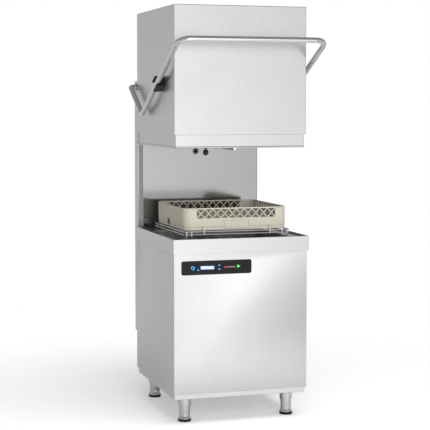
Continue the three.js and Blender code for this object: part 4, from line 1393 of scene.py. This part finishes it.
# %% Hood band, brackets and sliders
def hood_band():
    low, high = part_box("hood_band")
    hem, out = 4 * MM, 2.8 * MM
    half, front, bottom = high.x - out, low.y + out, low.z + hem
    sheet = folded("sheet", box_sides(about(0, half), (front, high.y), (bottom, high.z), "front left right"),
                   3 * MM)
    inner, near, bend = half - 1 * MM, front + 1 * MM, 6 * MM
    corners = [((-inner, high.y, bottom), 0), ((-inner, near, bottom), bend), ((inner, near, bottom), bend),
               ((inner, high.y, bottom), 0)]
    return joined("hood_band_folded", sheet, pipe("hem", rounded_path(corners, 8), hem, 24))


def bracket(side, sign):
    rear, hood_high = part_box("hood_band")[1].y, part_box("hood_shell")[1]
    height = (1330 * MM, 1400 * MM)
    web = sign * 284 * MM
    flange = solid_box("flange", sorted((web, sign * hood_high.x)), (rear + 0.1 * MM, rear + 2 * MM), height)
    arm = solid_box("arm", sorted((web, web + sign * 3 * MM)), (rear + 0.1 * MM, hood_high.y), height)
    finished(joined("hood_bracket_" + side, flange, arm), BRUSHED, "hood", edge=0.4 * MM)
    refined("hood_slider_" + side, NYLON, "hood", 2.5 * MM, 3)


finished(hood_band(), BRUSHED, "hood", ("hood_band",))
bracket("right", 1)
bracket("left", -1)

# %% [markdown]
# ## The lifting handle
# One polished tube runs across the front, down both sides and back up to its pivots on the
# columns. A bent tube is a circle carried along a path whose corners have the real bend radii.

# %% Handle
HANDLE_RADIUS = 12.5 * MM
low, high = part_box("handle")
pivot = Vector(frame_joint("handle_swing")["pos_m"])
tube_x = high.x - HANDLE_RADIUS
bar_at = (low.y + HANDLE_RADIUS, high.z - HANDLE_RADIUS)
elbow = (pivot.y - 232 * MM, pivot.z - 135 * MM)
end_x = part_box("hood_shell")[1].x + 1 * MM


def half_handle(sign):
    return [((sign * end_x, pivot.y, pivot.z), 0), ((sign * tube_x, pivot.y, pivot.z), 15 * MM),
            ((sign * tube_x, *elbow), 30 * MM), ((sign * tube_x, *bar_at), 55 * MM)]


route = rounded_path(half_handle(-1) + half_handle(1)[::-1], 14)
finished(pipe("handle_bent", route, HANDLE_RADIUS - 0.05 * MM, 48), POLISHED, "handle", ("handle",))
bore, outer, fine, soft = HANDLE_RADIUS + 0.4 * MM, 17 * MM, 0.8 * MM, 1.2 * MM
for side in ("left", "right"):
    refined("guide_shoe_" + side, NYLON, "guide_shoe_" + side, 1.5 * MM, 3)
    node = "handle_bush_" + side
    (x0, x1), at = spans(node)[0], middle(node)
    ring_shape = [(bore, x0, fine), (outer, x0, soft), (outer, x1, soft), (bore, x1, fine)]
    finished(turned(node + "_moulded", ring_shape, (0, at.y, at.z), "x"), BRUSHED, "chassis", (node,))
print("handle path points:", len(route))

# %% [markdown]
# ## The rack and its guide
# The guide is a frame of bent wire standing on the ledge. The rack is one moulding of
# polypropylene: a rim, lattice windows in front and behind, slotted sides, a grid floor and pegs
# for plates. The walls are a loft with windows cut out; everything that repeats is grown by rule.


# %% Rack guide
def rack_guide():
    (x0, x1), (y0, y1), (z0, z1) = spans("rack_guide")
    wire, bend = 3 * MM, 12 * MM
    left, right, front, back = x0 + wire, x1 - wire, y0 + wire, y1 - wire
    pieces = []
    for level in (z0 + 22.7 * MM, z0 + 35.7 * MM):
        corners = ((left, front), (right, front), (right, back), (left, back))
        loop = rounded_path([((x, y, level), bend) for x, y in corners], 8, closed=True)
        pieces.append(pipe("loop", loop, wire, 16, closed=True))
    uprights = [(x, z0, z0 + 36 * MM) for x in (left + bend, left + 3 * bend, right - 3 * bend, right - bend)]
    uprights += [(x, z0 + 20 * MM, z1) for x in (-160 * MM, 160 * MM)]
    pieces += [rod("upright", (x, y, low), (x, y, high), wire, 16) for y in (front, back)
               for x, low, high in uprights]
    return joined("rack_guide_wires", *pieces)


finished(rack_guide(), POLISHED, "chassis", ("rack_guide",), edge=0.5 * MM)
print("guide wires done")

# %% Rack walls
RACK_X, RACK_Y, RACK_Z = spans("rack")
RACK_MID_Y = middle("rack").y
WALL = 5
WINDOW_Z = (RACK_Z[0] + 55 * MM, RACK_Z[1] - 6 * MM)
WINDOW_HALF = 190 * MM


def rack_ring(by, level):
    return ring((RACK_X[0] + by, RACK_X[1] - by), (RACK_Y[0] + by, RACK_Y[1] - by), level, 38 * MM - by, 10)


def rack_shell():
    low, high = RACK_Z
    steps = [(3.6, low, 0), (3, low, 0.5), (3, low, 15), (1.2, low, 17), (1.2, high, -7), (0, high, -5.5),
             (0, high, -1.5), (0.5, high, -0.4), (1.5, high, 0), (WALL, high, 0), (WALL + 0.8, high, -0.8),
             (WALL + 0.8, high, -6), (WALL, high, -7), (WALL, low, 0)]
    rings = [rack_ring(by * MM, level + up * MM) for by, level, up in steps]
    return edited(lofted("walls", rings, closed=True), outward)


def rack_openings():
    """Cutters: a lattice window in front and behind, and slits, a slot and grooves in the walls."""
    low, high = RACK_Z
    reach = 30 * MM
    for y, way in zip(RACK_Y, (1, -1)):
        yield solid_box("window", about(0, WINDOW_HALF), about(y, reach), WINDOW_Z)
    for x, way in zip(RACK_X, (1, -1)):
        groove = sorted((x - way * reach, x + way * 2.6 * MM))
        yield solid_box("groove", groove, about(RACK_MID_Y, 205 * MM), (high - 40 * MM, high - 37 * MM))
        yield solid_box("slot", about(x, reach), about(RACK_MID_Y + 32 * MM, 24 * MM),
                        (low + 6 * MM, low + 36 * MM))
        for k in range(-5, 6):
            yield solid_box("slit", about(x, reach), about(RACK_MID_Y + k * 36 * MM, 4.5 * MM),
                            (high - 35 * MM, high - 8 * MM))
    for y, way in zip(RACK_Y, (1, -1)):
        depth = sorted((y - way * reach, y + way * 4 * MM))
        groove = solid_box("groove", about(0, 60 * MM), depth, (low + 6 * MM, low + 45 * MM))
        inside = solid_box("inside", about(0, 57.5 * MM), about(y, 2 * reach),
                           (low + 8 * MM, low + 42.5 * MM))
        yield cut(groove, inside)


finished(cut(rack_shell(), *rack_openings()), RACK_PLASTIC, "rack", ("rack",), edge=0.5 * MM)
print("rack walls done")


# %% Rack lattice and grips
def lattice(name, y):
    height, count = WINDOW_Z[1] - WINDOW_Z[0], 10
    pitch = 2 * WINDOW_HALF / count
    tilt = math.atan2(height, pitch)
    first = (-WINDOW_HALF + pitch / 2, y, (WINDOW_Z[0] + WINDOW_Z[1]) / 2)
    for label, way in (("rising", 1), ("falling", -1)):
        row = bars(f"{name}_{label}", RACK_PLASTIC, count, first, (pitch, 0, 0),
                   (math.hypot(height, pitch), 2.8 * MM, 4.2 * MM), (0, -way * tilt, 0))
        finished(row, RACK_PLASTIC, "rack", edge=0.5 * MM)


def grip(name, y, sign):
    """A panel in the middle of a wall, level with the wall's upper part."""
    depth = sorted((y - sign * 0.8 * MM, y - sign * 4.6 * MM))
    low = RACK_Z[0] + 8.2 * MM
    finished(solid_box(name, about(0, 57.3 * MM), depth, (low, low + 34 * MM)), RACK_PLASTIC, "rack",
             edge=0.8 * MM)


rack_ends = (("front", RACK_Y[0], -1), ("rear", RACK_Y[1], 1))
for end, y, sign in rack_ends:
    lattice(f"rack_{end}_lattice", y - sign * 2.2 * MM)
for end, y, sign in rack_ends:
    grip(f"rack_{end}_grip", y, sign)
print("lattice and grips done")

# %% Rack floor and pegs
RIBS = 11
rib_pitch, rib_length = 40 * MM, 492 * MM
floor_level = RACK_Z[0] + 2.6 * MM
back_off = rib_pitch * (RIBS - 1) / 2
for way, first, pitch, size in (
        ("along", (-back_off, RACK_MID_Y), (rib_pitch, 0, 0), (3 * MM, rib_length, 5 * MM)),
        ("across", (0, RACK_MID_Y - back_off), (0, rib_pitch, 0), (rib_length, 3 * MM, 4.6 * MM))):
    floor_ribs = bars(f"rack_floor_ribs_{way}", RACK_PLASTIC, RIBS, (*first, floor_level), pitch, size)
    finished(floor_ribs, RACK_PLASTIC, "rack", edge=0.6 * MM, steps=1)
peg_spots = [(rib_pitch * i, RACK_MID_Y + rib_pitch * (k + 0.5) * 0.5, RACK_Z[0] + 3 * MM)
             for i in range(-5, 6) for k in range(-10, 10)]
pegs = grown("rack_pegs", CONES, RACK_PLASTIC, peg_spots, Foot=3.4 * MM, Tip=2 * MM, Height=66 * MM,
             Direction=(0, 0, 1))
finished(pegs, RACK_PLASTIC, "rack")
print("pegs:", len(peg_spots))
